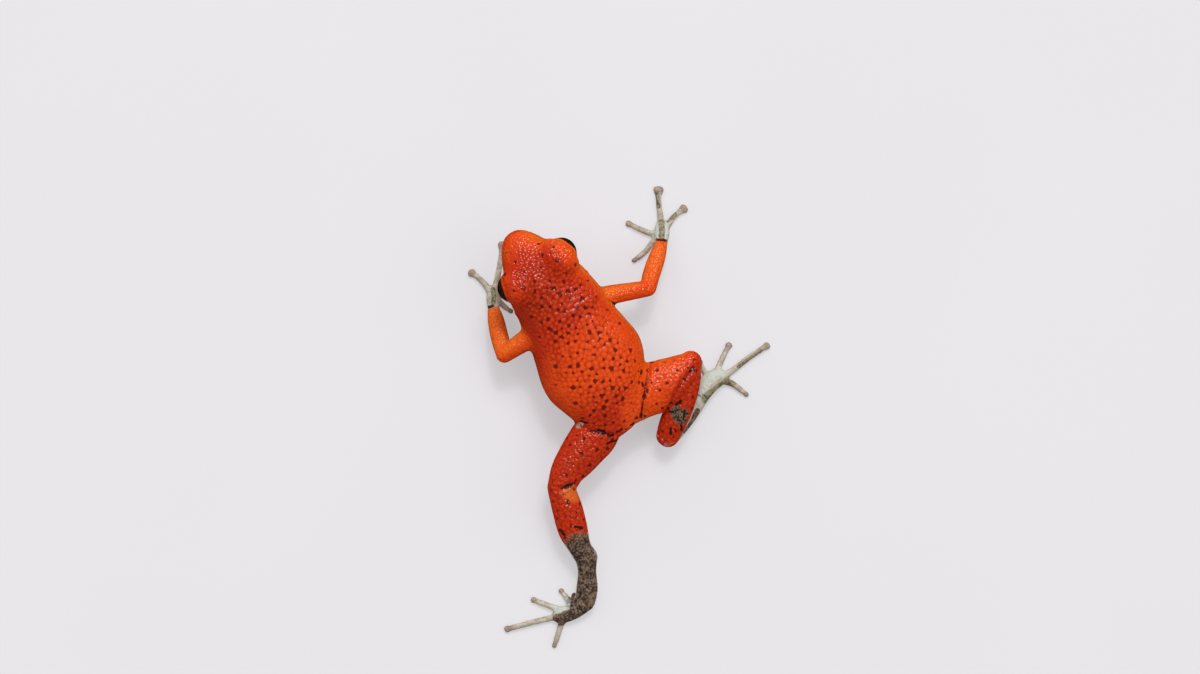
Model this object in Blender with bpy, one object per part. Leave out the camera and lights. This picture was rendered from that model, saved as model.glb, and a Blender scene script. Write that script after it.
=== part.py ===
"""A strawberry poison dart frog as a still, life-size model, sitting with its legs spread.

Shapes are worked out in millimetres and end as meshes in metres. The frog faces -Y, its right side
is -X, and it rests on z = 0 on the flats under its hands, feet and digits.
"""

import math

import bmesh
import bpy
from mathutils import Matrix, Vector

MM = 0.001
GAP = 0.3
FLOOR_SINK = 0.04

BODY_SIDES = 32
LIMB_SIDES = 14
DIGIT_SIDES = 8
BEAD_SIDES = 6
BALL_SIDES = 20
NOSTRIL_SIDES = 8
RIM_STEPS = 16
BODY_FULLNESS = 2.3
LIMB_FULLNESS = 2.0

# Torso sections from the neck to the vent: y, x, half-width, top, widest level, bottom.
TORSO = (
    (-6.6, 0.25, 3.75, 7.80, 4.75, 2.40),
    (-5.3, 0.18, 3.92, 7.78, 4.60, 2.30),
    (-3.6, 0.06, 4.16, 7.62, 4.30, 1.80),
    (-1.8, -0.02, 4.56, 7.45, 3.95, 1.20),
    (0.0, -0.03, 4.91, 7.24, 3.70, 0.80),
    (1.6, 0.08, 4.74, 6.98, 3.55, 0.75),
    (3.2, 0.17, 4.04, 6.55, 3.50, 1.00),
    (4.7, 0.27, 3.28, 5.88, 3.45, 1.50),
    (5.9, 0.40, 2.60, 5.18, 3.45, 2.05),
    (6.7, 0.52, 1.92, 4.65, 3.45, 2.55),
    (7.15, 0.60, 1.15, 4.20, 3.45, 2.95),
)
TORSO_END = (0.66, 7.38, 3.45)

# Head sections along its own axis: forward, half-width, top, level of the lips, bottom.
HEAD = (
    (-5.6, 3.96, 7.80, 4.72, 2.35),
    (-4.4, 3.88, 7.82, 4.80, 2.50),
    (-3.2, 3.72, 7.90, 4.95, 2.85),
    (-2.0, 3.48, 7.98, 5.05, 3.20),
    (-0.9, 3.16, 8.00, 5.12, 3.52),
    (0.2, 2.78, 7.92, 5.18, 3.80),
    (1.3, 2.33, 7.72, 5.24, 4.05),
    (2.2, 1.86, 7.45, 5.30, 4.25),
    (2.85, 1.43, 7.18, 5.38, 4.42),
    (3.28, 1.00, 6.92, 5.48, 4.60),
    (3.54, 0.54, 6.60, 5.62, 4.85),
)
SNOUT_TIP = (3.64, 5.85)
BROW = Vector((0.68, -9.77, 0.0))
HEAD_YAW = math.radians(7.5)
NECK = Vector((0.15, -5.35, 5.0))
NECK_YAW = HEAD_YAW / 2

# Places on the head: forward, to the side, up.
EYE = (-0.45, 2.70, 6.60)
EYE_RADIUS = 1.35
SOCKET_GAP = 0.15
UPPER_LID = (-0.75, 2.10, 7.00)
UPPER_LID_RADII = (2.10, 1.76, 1.65)
LOWER_LID = (-0.60, 2.05, 6.10)
LOWER_LID_RADII = (1.85, 1.58, 1.30)
NOSTRIL_FORWARD = 3.05
NOSTRIL_LEVEL = 6.40
NOSTRIL_RADIUS = 0.13
EARDRUM_FORWARD = -2.85
EARDRUM_LEVEL = 5.75
EARDRUM_RADIUS = 0.50
EARDRUM_RIM = 0.10
MOUTH_CORNER = -1.90
MOUTH_GROOVE = 0.10
LIP_ROLL = 0.13
LIP_LIFT = 0.17

# Limb sections, each from one joint to the next: x, y, z, half-width, half-height.
# Digits: half-width of the tip's disc, then x, y of the root, the knuckle, the bend and the tip.
ARMS = {
    "right": {
        "upper_arm": (
            (-2.65, -4.70, 4.60, 1.00, 1.05),
            (-4.55, -4.25, 4.30, 0.88, 0.95),
            (-6.30, -3.70, 3.85, 0.80, 0.85),
            (-7.75, -3.25, 3.45, 0.74, 0.76),
        ),
        "forearm": (
            (-7.75, -3.25, 3.45, 0.74, 0.76),
            (-8.65, -4.20, 2.75, 0.80, 0.76),
            (-9.95, -5.35, 1.90, 0.77, 0.72),
            (-11.15, -6.45, 1.00, 0.53, 0.48),
        ),
        "hand": (
            (-11.15, -6.45, 1.00, 0.53, 0.48),
            (-11.60, -7.20, 0.52, 0.70, 0.46),
            (-11.90, -7.85, 0.40, 0.55, 0.38),
        ),
        "fingers": (
            (0.26, (-11.25, -6.90), (-10.35, -6.75), (-9.30, -6.30), (-8.00, -6.10)),
            (0.34, (-11.40, -7.20), (-10.65, -7.60), (-9.95, -8.40), (-9.15, -9.50)),
            (0.52, (-11.65, -7.30), (-12.20, -8.60), (-12.65, -9.75), (-13.35, -11.10)),
            (0.45, (-11.80, -7.20), (-12.65, -7.65), (-13.50, -8.00), (-14.75, -8.20)),
        ),
    },
    "left": {
        "upper_arm": (
            (2.80, -4.40, 4.40, 1.10, 1.05),
            (4.05, -4.30, 4.20, 0.98, 1.00),
            (5.20, -4.20, 3.90, 0.88, 0.90),
            (6.55, -4.05, 3.40, 0.76, 0.78),
        ),
        "forearm": (
            (6.55, -4.05, 3.40, 0.76, 0.78),
            (6.12, -5.70, 2.55, 0.82, 0.76),
            (5.62, -7.25, 1.65, 0.74, 0.66),
            (5.30, -8.25, 1.00, 0.52, 0.48),
        ),
        "hand": (
            (5.30, -8.25, 1.00, 0.52, 0.48),
            (4.80, -9.05, 0.52, 0.70, 0.46),
            (4.45, -9.70, 0.40, 0.55, 0.38),
        ),
        "fingers": (
            (0.26, (5.05, -8.55), (4.50, -8.50), (4.30, -7.90), (3.90, -7.15)),
            (0.34, (4.70, -9.00), (3.85, -9.30), (3.15, -9.40), (2.35, -9.55)),
            (0.50, (4.60, -9.35), (3.65, -10.50), (2.70, -11.70), (1.55, -13.25)),
            (0.42, (4.75, -9.45), (4.90, -10.50), (5.20, -11.45), (5.65, -12.30)),
        ),
    },
}
LEGS = {
    "right": {
        "thigh": (
            (-1.05, 5.25, 3.40, 1.75, 1.60),
            (-3.10, 4.85, 3.50, 2.40, 1.65),
            (-4.55, 4.92, 3.60, 2.22, 1.60),
            (-5.90, 4.85, 3.70, 1.96, 1.48),
            (-7.15, 4.62, 3.75, 1.45, 1.28),
            (-8.00, 4.42, 3.70, 1.02, 1.05),
        ),
        "shank": (
            (-8.00, 4.42, 3.70, 1.02, 1.05),
            (-7.00, 5.85, 3.40, 1.14, 1.12),
            (-5.65, 7.25, 2.95, 1.22, 1.15),
            (-4.15, 8.50, 2.40, 1.22, 1.08),
            (-3.15, 9.40, 1.90, 1.05, 0.98),
        ),
        "tarsus": (
            (-3.15, 9.40, 1.90, 1.05, 0.98),
            (-5.55, 8.85, 0.95, 0.72, 0.60),
            (-7.80, 7.70, 0.75, 0.66, 0.55),
        ),
        "foot": (
            (-7.80, 7.70, 0.75, 0.66, 0.55),
            (-9.05, 6.95, 0.58, 0.93, 0.50),
            (-10.25, 6.90, 0.42, 0.82, 0.42),
        ),
        "toes": (
            (0.26, (-8.45, 7.25), (-8.25, 6.35), (-8.15, 5.70), (-8.05, 5.20)),
            (0.30, (-8.85, 7.05), (-9.05, 6.05), (-9.05, 5.40), (-9.15, 4.70)),
            (0.37, (-9.50, 6.85), (-10.45, 6.05), (-11.35, 5.35), (-12.40, 4.65)),
            (0.38, (-9.80, 7.05), (-11.55, 6.95), (-13.50, 6.60), (-15.50, 6.45)),
            (0.28, (-10.00, 7.10), (-10.80, 8.05), (-11.15, 8.75), (-11.55, 9.65)),
        ),
    },
    "left": {
        "thigh": (
            (1.40, 5.25, 3.30, 1.95, 1.60),
            (2.70, 6.20, 3.30, 2.04, 1.60),
            (3.80, 6.65, 3.25, 2.00, 1.55),
            (5.30, 7.35, 3.15, 1.80, 1.42),
            (6.50, 7.95, 3.05, 1.53, 1.32),
            (7.65, 8.88, 2.90, 1.22, 1.14),
        ),
        "shank": (
            (7.65, 8.88, 2.90, 1.22, 1.14),
            (8.00, 10.80, 2.65, 1.38, 1.24),
            (8.45, 12.85, 2.30, 1.35, 1.20),
            (8.60, 14.55, 1.85, 1.03, 1.02),
            (8.50, 15.60, 1.50, 1.05, 0.92),
        ),
        "tarsus": (
            (8.50, 15.60, 1.50, 1.05, 0.92),
            (9.00, 16.75, 1.15, 0.84, 0.74),
            (9.70, 18.10, 0.95, 0.98, 0.70),
            (10.40, 19.10, 0.80, 0.92, 0.64),
        ),
        "foot": (
            (10.40, 19.10, 0.80, 0.92, 0.64),
            (11.65, 19.40, 0.62, 0.77, 0.52),
            (12.70, 19.25, 0.48, 0.78, 0.44),
            (13.30, 19.15, 0.42, 0.60, 0.42),
        ),
        "toes": (
            (0.25, (10.95, 19.20), (11.05, 18.75), (11.05, 18.40), (11.00, 18.00)),
            (0.29, (11.60, 19.25), (11.70, 18.60), (11.75, 17.90), (11.90, 17.10)),
            (0.31, (12.50, 19.20), (13.00, 18.45), (13.80, 17.60), (14.60, 16.65)),
            (0.36, (12.50, 19.40), (13.85, 19.00), (15.75, 18.50), (18.05, 17.95)),
            (0.26, (12.60, 19.55), (13.30, 19.95), (14.05, 20.70), (14.85, 21.45)),
        ),
    },
}
DIGIT_HALF_WIDTH = 0.27
DIGIT_HALF_HEIGHT = 0.27
ROOT_HALF_WIDTH = 0.46
ROOT_HALF_HEIGHT = 0.38
COURSE_STEPS = 12

# How a digit's width and height run, as shares of its own: place, share of width, share of height.
# Places on the stem count from the root in lengths to the knuckle, those on the disc count back
# from the tip in half-widths of the disc, and widths there are shares of the disc's half-width.
STEM = ((0.6, 1.25, 1.10), (1.0, 1.08, 1.00))
FLARE_BACK = 2.3
MIDDLE_WIDTH = 0.98
FLARE_WIDTH = 0.94
DISC = ((1.45, 0.70), (0.80, 1.00), (0.45, 0.90))
TIP_THINNING = 0.80

SKIN_COLOURS = {
    "head": (0.42, 0.045, 0.015),
    "torso": (0.50, 0.050, 0.012),
    "upper_arm": (0.55, 0.080, 0.020),
    "forearm": (0.60, 0.110, 0.035),
    "hand": (0.27, 0.30, 0.25),
    "finger": (0.30, 0.26, 0.20),
    "thigh": (0.45, 0.045, 0.012),
    "shank": (0.38, 0.055, 0.020),
    "tarsus": (0.20, 0.22, 0.19),
    "foot": (0.26, 0.30, 0.28),
    "toe": (0.30, 0.27, 0.22),
}
EYE_COLOUR = (0.008, 0.007, 0.007)


def smooth(rows, per_span):
    """Rows of numbers read from a Catmull-Rom curve through the given rows."""
    found = []
    last = len(rows) - 1
    for i in range(last):
        around = (rows[max(i - 1, 0)], rows[i], rows[i + 1], rows[min(i + 2, last)])
        for step in range(per_span):
            t = step / per_span
            found.append(tuple(catmull_rom(t, *values) for values in zip(*around)))
    found.append(tuple(rows[last]))
    return found


def catmull_rom(t, before, start, end, after):
    slope_in = (end - before) / 2
    slope_out = (after - start) / 2
    rise = end - start
    return (
        start
        + slope_in * t
        + (3 * rise - 2 * slope_in - slope_out) * t ** 2
        + (slope_in + slope_out - 2 * rise) * t ** 3
    )


def squared(value, fullness):
    """A sine or cosine bent so that a section is fuller than an ellipse."""
    return math.copysign(abs(value) ** (2 / fullness), value)


def section(centre, side, up, half_width, above, below, sides, fullness):
    points = []
    for i in range(sides):
        angle = 2 * math.pi * i / sides
        across = squared(math.cos(angle), fullness) * half_width
        level = squared(math.sin(angle), fullness)
        points.append(centre + side * across + up * level * (above if level > 0 else below))
    return points


def new_object(name, bm):
    bmesh.ops.recalc_face_normals(bm, faces=bm.faces)
    mesh = bpy.data.meshes.new(name)
    bm.to_mesh(mesh)
    bm.free()
    return bpy.data.objects.new(name, mesh)


def loft(name, rings, first_pole=None, last_pole=None):
    """Skins a row of like-numbered sections. An end is a fan to its pole, or one flat face."""
    bm = bmesh.new()
    loops = [[bm.verts.new(point) for point in ring] for ring in rings]
    count = len(loops[0])
    for low, high in zip(loops, loops[1:]):
        for i in range(count):
            j = (i + 1) % count
            bm.faces.new((low[i], low[j], high[j], high[i]))
    for loop, pole in ((loops[0], first_pole), (loops[-1], last_pole)):
        if pole is None:
            bm.faces.new(loop)
            continue
        tip = bm.verts.new(pole)
        for i in range(count):
            bm.faces.new((loop[i], loop[(i + 1) % count], tip))
    return new_object(name, bm)


def tube(name, rows, sides, per_span=2, cap_rings=2):
    """A limb or digit: round sections along a smooth path, with a dome at each end."""
    path = smooth(rows, per_span)
    centres = [Vector(row[:3]) for row in path]
    rings = []
    for i, row in enumerate(path):
        ahead = (centres[min(i + 1, len(path) - 1)] - centres[max(i - 1, 0)]).normalized()
        rings.append((centres[i], ahead, row[3], row[4]))
    first = rings[0]
    last = rings[-1]
    domed = []
    for k in range(cap_rings, 0, -1):
        domed.append(dome_ring(first, -1, k / (cap_rings + 1)))
    domed.extend(rings)
    for k in range(1, cap_rings + 1):
        domed.append(dome_ring(last, 1, k / (cap_rings + 1)))
    points = []
    for centre, ahead, half_width, half_height in domed:
        side = ahead.cross(Vector((0, 0, 1))).normalized()
        up = side.cross(ahead)
        points.append(
            section(centre, side, up, half_width, half_height, half_height, sides, LIMB_FULLNESS)
        )
    return loft(name, points, dome_ring(first, -1, 1)[0], dome_ring(last, 1, 1)[0])


def dome_ring(ring, way, share):
    """The ring at a share of a quarter turn round the dome on an end ring."""
    centre, ahead, half_width, half_height = ring
    turn = share * math.pi / 2
    reach = min(half_width, half_height) * math.sin(turn)
    shrink = math.cos(turn)
    return centre + ahead * (way * reach), ahead, half_width * shrink, half_height * shrink


def slice_off(obj, point, normal):
    """Takes away what lies past the plane, and closes the cut with a flat face."""
    bm = bmesh.new()
    bm.from_mesh(obj.data)
    everything = bm.verts[:] + bm.edges[:] + bm.faces[:]
    bmesh.ops.bisect_plane(
        bm, geom=everything, dist=1e-5, plane_co=point, plane_no=normal, clear_outer=True
    )
    rim = [edge for edge in bm.edges if edge.is_boundary]
    bmesh.ops.edgeloop_fill(bm, edges=rim)
    bmesh.ops.recalc_face_normals(bm, faces=bm.faces)
    bm.to_mesh(obj.data)
    bm.free()


def combine(obj, others, operation, tools):
    """Applies one Boolean of the object with all the others, which are then removed."""
    scene_objects = bpy.context.scene.collection.objects
    scene_objects.link(obj)
    for other in others:
        other.hide_render = True
        other.display_type = "WIRE"
        tools.objects.link(other)
    modifier = obj.modifiers.new(operation.lower(), "BOOLEAN")
    modifier.operation = operation
    modifier.solver = "EXACT"
    modifier.operand_type = "COLLECTION"
    modifier.collection = tools
    graph = bpy.context.evaluated_depsgraph_get()
    graph.update()
    result = bpy.data.meshes.new_from_object(obj.evaluated_get(graph))
    obj.modifiers.clear()
    obj.data = result
    scene_objects.unlink(obj)
    for other in others:
        bpy.data.objects.remove(other)
    keep_largest(obj)


def keep_largest(obj):
    """Keeps only the largest closed surface of the object."""
    bm = bmesh.new()
    bm.from_mesh(obj.data)
    unseen = set(bm.verts)
    shells = []
    while unseen:
        shell = {unseen.pop()}
        edge_of_shell = list(shell)
        while edge_of_shell:
            vertex = edge_of_shell.pop()
            for edge in vertex.link_edges:
                other = edge.other_vert(vertex)
                if other not in shell:
                    shell.add(other)
                    edge_of_shell.append(other)
        unseen -= shell
        shells.append(shell)
    shells.sort(key=len)
    for shell in shells[:-1]:
        bmesh.ops.delete(bm, geom=list(shell), context="VERTS")
    bm.to_mesh(obj.data)
    bm.free()


def torso(name, grow=0.0):
    rings = []
    for y, x, half_width, top, widest, bottom in smooth(TORSO, 2):
        rings.append(
            section(
                Vector((x, y, widest)),
                Vector((1, 0, 0)),
                Vector((0, 0, 1)),
                half_width + grow,
                top - widest + grow,
                widest - bottom + grow,
                BODY_SIDES,
                BODY_FULLNESS,
            )
        )
    end = Vector(TORSO_END) + Vector((0, grow, 0))
    return loft(name, rings, last_pole=end)


def on_head(forward, aside, level):
    """A place on the head, with aside counted to the frog's right."""
    ahead = Vector((math.sin(HEAD_YAW), -math.cos(HEAD_YAW), 0))
    right = Vector((-math.cos(HEAD_YAW), -math.sin(HEAD_YAW), 0))
    return BROW + ahead * forward + right * aside + Vector((0, 0, level))


def head_profile(forward):
    """Half-width, top, lip level and bottom of the head at a distance forward."""
    rows = smooth(HEAD, 8)
    for near, far in zip(rows, rows[1:]):
        if near[0] <= forward <= far[0]:
            share = (forward - near[0]) / (far[0] - near[0])
            return [a + (b - a) * share for a, b in zip(near[1:], far[1:])]
    return rows[-1][1:]


def head_side(forward, level):
    """How far out the head's skin lies at a distance forward and a level above the lips."""
    half_width, top, lips, _ = head_profile(forward)
    share = (level - lips) / (top - lips)
    return half_width * (1 - share ** BODY_FULLNESS) ** (1 / BODY_FULLNESS)


def on_head_side(forward, level, side):
    """The place on the head's skin at a distance forward and a level above the lips."""
    return on_head(forward, side * head_side(forward, level), level)


def skull(name):
    rings = []
    for forward, half_width, top, lips, bottom in smooth(HEAD, 2):
        rings.append(
            section(
                on_head(forward, 0, lips),
                on_head(0, 1, 0) - on_head(0, 0, 0),
                Vector((0, 0, 1)),
                half_width,
                top - lips,
                lips - bottom,
                BODY_SIDES,
                BODY_FULLNESS,
            )
        )
    return loft(name, rings, last_pole=on_head(SNOUT_TIP[0], 0, SNOUT_TIP[1]))


def ball(name, centre, radii, segments=BALL_SIDES):
    """An ellipsoid whose first radius lies along the head's axis."""
    bm = bmesh.new()
    bmesh.ops.create_uvsphere(bm, u_segments=segments, v_segments=segments // 2 + 2, radius=1)
    turn = Matrix.Rotation(HEAD_YAW - math.pi / 2, 4, "Z")
    size = Matrix.Diagonal((radii[0], radii[1], radii[2], 1))
    bm.transform(Matrix.Translation(centre) @ turn @ size)
    return new_object(name, bm)


def mouth_path(lift, inset):
    """Points along the lips from the right corner, round the snout, to the left corner."""
    half = []
    for forward, half_width, _, lips, _ in smooth(HEAD, 2):
        if forward >= MOUTH_CORNER:
            half.append((forward, half_width - inset, lips + lift))
    tip = (SNOUT_TIP[0] - inset, 0.0, half[-1][2])
    right = [on_head(*place) for place in half]
    left = [on_head(forward, -aside, level) for forward, aside, level in reversed(half)]
    return right + [on_head(*tip)] + left


def rail(name, path, radius):
    """A round bead or a groove cutter along a path."""
    rows = [(*point, radius, radius) for point in path]
    return tube(name, rows, BEAD_SIDES, per_span=1, cap_rings=1)


def eardrum_rim(name, side):
    """The raised rim of the eardrum, a thin ring lying on the side of the head."""
    step = EARDRUM_RADIUS / 2
    centre = on_head_side(EARDRUM_FORWARD, EARDRUM_LEVEL, side)
    up = on_head_side(EARDRUM_FORWARD, EARDRUM_LEVEL + step, side) - centre
    ahead = on_head_side(EARDRUM_FORWARD + step, EARDRUM_LEVEL, side) - centre
    bpy.ops.mesh.primitive_torus_add(
        major_segments=RIM_STEPS,
        minor_segments=BEAD_SIDES,
        major_radius=EARDRUM_RADIUS,
        minor_radius=EARDRUM_RIM,
    )
    obj = bpy.context.object
    obj.name = name
    turn = up.cross(ahead).to_track_quat("Z", "Y").to_matrix().to_4x4()
    obj.data.transform(Matrix.Translation(centre) @ turn)
    obj.users_collection[0].objects.unlink(obj)
    return obj


def digit(name, row):
    """A finger or toe on the floor, from its root in the palm to the flat disc at its tip."""
    disc = row[0]
    course = smooth(row[1:], COURSE_STEPS)
    lengths = [0.0]
    for (x0, y0), (x1, y1) in zip(course, course[1:]):
        lengths.append(lengths[-1] + math.hypot(x1 - x0, y1 - y0))
    whole = lengths[-1]
    knuckle = lengths[COURSE_STEPS]
    flare = whole - FLARE_BACK * disc
    stations = [(0.0, ROOT_HALF_WIDTH, ROOT_HALF_HEIGHT)]
    for share, width, height in STEM:
        stations.append((share * knuckle, width * DIGIT_HALF_WIDTH, height * DIGIT_HALF_HEIGHT))
    for distance, width in (((knuckle + flare) / 2, MIDDLE_WIDTH), (flare, FLARE_WIDTH)):
        stations.append((distance, width * DIGIT_HALF_WIDTH, DIGIT_HALF_HEIGHT))
    for back, width in DISC:
        half_width = max(width * disc, width * DIGIT_HALF_WIDTH)
        stations.append((whole - back * disc, half_width, TIP_THINNING * DIGIT_HALF_HEIGHT))
    rows = []
    for distance, half_width, half_height in stations:
        place = place_along(course, lengths, distance)
        rows.append((*place, half_height - FLOOR_SINK, half_width, half_height))
    return tube(name, rows, DIGIT_SIDES)


def place_along(course, lengths, distance):
    for i in range(1, len(lengths)):
        if lengths[i] >= distance:
            share = (distance - lengths[i - 1]) / (lengths[i] - lengths[i - 1])
            return [a + (b - a) * share for a, b in zip(course[i - 1], course[i])]
    return course[-1]


def knuckle_plane(row):
    """Where a digit is parted from its hand or foot: a point on the floor and the way out."""
    course = smooth(row[1:], COURSE_STEPS)
    before = course[COURSE_STEPS - 1]
    after = course[COURSE_STEPS + 1]
    way = Vector((after[0] - before[0], after[1] - before[1], 0)).normalized()
    return Vector((*course[COURSE_STEPS], 0)), way


def joint_plane(before, after):
    """The plane that halves the bend between two limb segments: its point and its normal."""
    joint = Vector(after[0][:3])
    inward = (joint - Vector(before[-2][:3])).normalized()
    outward = (Vector(after[1][:3]) - joint).normalized()
    return joint, (inward + outward).normalized()


def limb(side, segments, tools):
    """The nodes of one limb, cut apart at its joints, with the first cut clear of the torso."""
    names = list(segments)
    nodes = {}
    for i, part in enumerate(names):
        obj = tube(f"{part}_{side}", segments[part], LIMB_SIDES)
        if i > 0:
            point, normal = joint_plane(segments[names[i - 1]], segments[part])
            slice_off(obj, point + normal * (GAP / 2), -normal)
        if i < len(names) - 1:
            point, normal = joint_plane(segments[part], segments[names[i + 1]])
            slice_off(obj, point - normal * (GAP / 2), normal)
        nodes[part] = obj
    combine(nodes[names[0]], [torso("torso_grown", GAP)], "DIFFERENCE", tools)
    return nodes


def fan_of_digits(kind, side, palm, rows, tools):
    """Joins the roots of the digits to the palm or sole, and returns the digits as nodes."""
    roots = []
    nodes = []
    for i, row in enumerate(rows):
        knuckle, way = knuckle_plane(row)
        root = digit("root", row)
        slice_off(root, knuckle - way * (GAP / 2), way)
        roots.append(root)
        finger = digit(f"{kind}_{i + 1}_{side}", row)
        slice_off(finger, knuckle + way * (GAP / 2), -way)
        nodes.append(finger)
    combine(palm, roots, "UNION", tools)
    for obj in [palm] + nodes:
        slice_off(obj, Vector((0, 0, 0)), Vector((0, 0, -1)))
    return nodes


def head(tools):
    obj = skull("head")
    added = [rail("upper_lip", mouth_path(LIP_LIFT, 0.06), LIP_ROLL)]
    added.append(rail("lower_lip", mouth_path(-LIP_LIFT, 0.10), LIP_ROLL))
    taken = [rail("mouth", mouth_path(0, 0), MOUTH_GROOVE)]
    for side in (1, -1):
        for name, centre, radii in (
            ("upper_lid", UPPER_LID, UPPER_LID_RADII),
            ("lower_lid", LOWER_LID, LOWER_LID_RADII),
        ):
            forward, aside, level = centre
            added.append(ball(name, on_head(forward, side * aside, level), radii))
        added.append(eardrum_rim("eardrum", side))
        forward, aside, level = EYE
        socket = EYE_RADIUS + SOCKET_GAP
        taken.append(ball("socket", on_head(forward, side * aside, level), (socket,) * 3))
        place = on_head_side(NOSTRIL_FORWARD, NOSTRIL_LEVEL, side)
        taken.append(ball("nostril", place, (NOSTRIL_RADIUS,) * 3, NOSTRIL_SIDES))
    combine(obj, added, "UNION", tools)
    combine(obj, taken, "DIFFERENCE", tools)
    slice_off(obj, NECK - neck_normal() * (GAP / 2), neck_normal())
    return obj


def neck_normal():
    """The way from the head back into the torso."""
    return Vector((-math.sin(NECK_YAW), math.cos(NECK_YAW), 0))


def paint(obj, colour, roughness):
    material = bpy.data.materials.new(obj.name)
    material.use_nodes = True
    shader = material.node_tree.nodes["Principled BSDF"]
    shader.inputs["Base Color"].default_value = (*colour, 1)
    shader.inputs["Roughness"].default_value = roughness
    shader.inputs["Metallic"].default_value = 0
    material.diffuse_color = (*colour, 1)
    obj.data.materials.clear()
    obj.data.materials.append(material)


def build():
    for obj in list(bpy.data.objects):
        bpy.data.objects.remove(obj)
    frog = bpy.data.collections.new("strawberry_poison_dart_frog")
    tools = bpy.data.collections.new("cutters")
    bpy.context.scene.collection.children.link(frog)
    bpy.context.scene.collection.children.link(tools)

    nodes = [head(tools)]
    body = torso("torso")
    slice_off(body, NECK + neck_normal() * (GAP / 2), -neck_normal())
    nodes.append(body)
    for side, sign in (("right", 1), ("left", -1)):
        forward, aside, level = EYE
        centre = on_head(forward, sign * aside, level)
        nodes.append(ball(f"eye_{side}", centre, (EYE_RADIUS,) * 3))
    for limbs, end, kind in ((ARMS, "hand", "finger"), (LEGS, "foot", "toe")):
        for side, parts in limbs.items():
            segments = {part: rows for part, rows in parts.items() if part != f"{kind}s"}
            made = limb(side, segments, tools)
            nodes.extend(made.values())
            nodes.extend(fan_of_digits(kind, side, made[end], parts[f"{kind}s"], tools))

    for obj in nodes:
        obj.data.transform(Matrix.Scale(MM, 4))
        frog.objects.link(obj)
    lows = [min(v.co[axis] for obj in nodes for v in obj.data.vertices) for axis in range(2)]
    highs = [max(v.co[axis] for obj in nodes for v in obj.data.vertices) for axis in range(2)]
    middle = Vector([(low + high) / 2 for low, high in zip(lows, highs)] + [0])
    for obj in nodes:
        obj.data.transform(Matrix.Translation(-middle))
        obj.data.shade_smooth()
        obj.data.set_sharp_from_angle(angle=math.radians(50))
        part = obj.name.split("_left")[0].split("_right")[0].rstrip("_12345")
        if part == "eye":
            paint(obj, EYE_COLOUR, 0.08)
        else:
            paint(obj, SKIN_COLOURS[part], 0.35)


build()
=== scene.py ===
"""The looks of a strawberry poison dart frog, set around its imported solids.

One skin stands for all the flesh. It comes from the same named sizes as the solids, but finer:
closed bodies are lofted and fused by a voxel remesh, and then the eye openings, mouth, nostrils,
eardrums, toe pads and the grains of the skin are worked into its surface. Shapes are in
millimetres in the frog's own frame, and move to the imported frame's metres at the end. The frog
faces -Y, its right side is -X, and it rests on z = 0.
"""

import math

import bmesh
import bpy
import numpy as np
from mathutils import Matrix, Vector, kdtree


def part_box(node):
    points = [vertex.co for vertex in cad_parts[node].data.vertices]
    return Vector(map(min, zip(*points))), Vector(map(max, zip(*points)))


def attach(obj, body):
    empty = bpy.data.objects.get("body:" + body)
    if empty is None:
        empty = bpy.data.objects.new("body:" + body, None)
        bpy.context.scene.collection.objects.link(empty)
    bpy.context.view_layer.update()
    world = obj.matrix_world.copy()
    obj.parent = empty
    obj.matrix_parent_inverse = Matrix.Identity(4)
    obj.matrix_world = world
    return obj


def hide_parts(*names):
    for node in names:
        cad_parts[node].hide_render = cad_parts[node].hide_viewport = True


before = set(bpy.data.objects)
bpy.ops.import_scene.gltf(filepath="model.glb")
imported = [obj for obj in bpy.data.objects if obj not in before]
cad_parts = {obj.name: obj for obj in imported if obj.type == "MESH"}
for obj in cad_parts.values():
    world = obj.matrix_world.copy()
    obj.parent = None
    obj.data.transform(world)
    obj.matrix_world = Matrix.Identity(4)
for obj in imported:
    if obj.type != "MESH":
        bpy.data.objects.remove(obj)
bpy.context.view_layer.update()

MM = 0.001
FLOOR_SINK = 0.04
BODY_FULLNESS = 2.3
LIMB_FULLNESS = 2.0

# Torso sections from the neck to the vent: y, x, half-width, top, widest level, bottom.
TORSO = (
    (-6.6, 0.25, 3.75, 7.80, 4.75, 2.40),
    (-5.3, 0.18, 3.92, 7.78, 4.60, 2.30),
    (-3.6, 0.06, 4.16, 7.62, 4.30, 1.80),
    (-1.8, -0.02, 4.56, 7.45, 3.95, 1.20),
    (0.0, -0.03, 4.91, 7.24, 3.70, 0.80),
    (1.6, 0.08, 4.74, 6.98, 3.55, 0.75),
    (3.2, 0.17, 4.04, 6.55, 3.50, 1.00),
    (4.7, 0.27, 3.28, 5.88, 3.45, 1.50),
    (5.9, 0.40, 2.60, 5.18, 3.45, 2.05),
    (6.7, 0.52, 1.92, 4.65, 3.45, 2.55),
    (7.15, 0.60, 1.15, 4.20, 3.45, 2.95),
)
TORSO_END = (0.66, 7.38, 3.45)

# Head sections along its own axis: forward, half-width, top, level of the lips, bottom.
HEAD = (
    (-5.6, 3.96, 7.80, 4.72, 2.35),
    (-4.4, 3.88, 7.82, 4.80, 2.50),
    (-3.2, 3.72, 7.90, 4.95, 2.85),
    (-2.0, 3.48, 7.98, 5.05, 3.20),
    (-0.9, 3.16, 8.00, 5.12, 3.52),
    (0.2, 2.78, 7.92, 5.18, 3.80),
    (1.3, 2.33, 7.72, 5.24, 4.05),
    (2.2, 1.86, 7.45, 5.30, 4.25),
    (2.85, 1.43, 7.18, 5.38, 4.42),
    (3.28, 1.00, 6.92, 5.48, 4.60),
    (3.54, 0.54, 6.60, 5.62, 4.85),
)
SNOUT_TIP = (3.64, 5.85)
BROW = Vector((0.68, -9.77, 0.0))
HEAD_YAW = math.radians(7.5)

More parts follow.
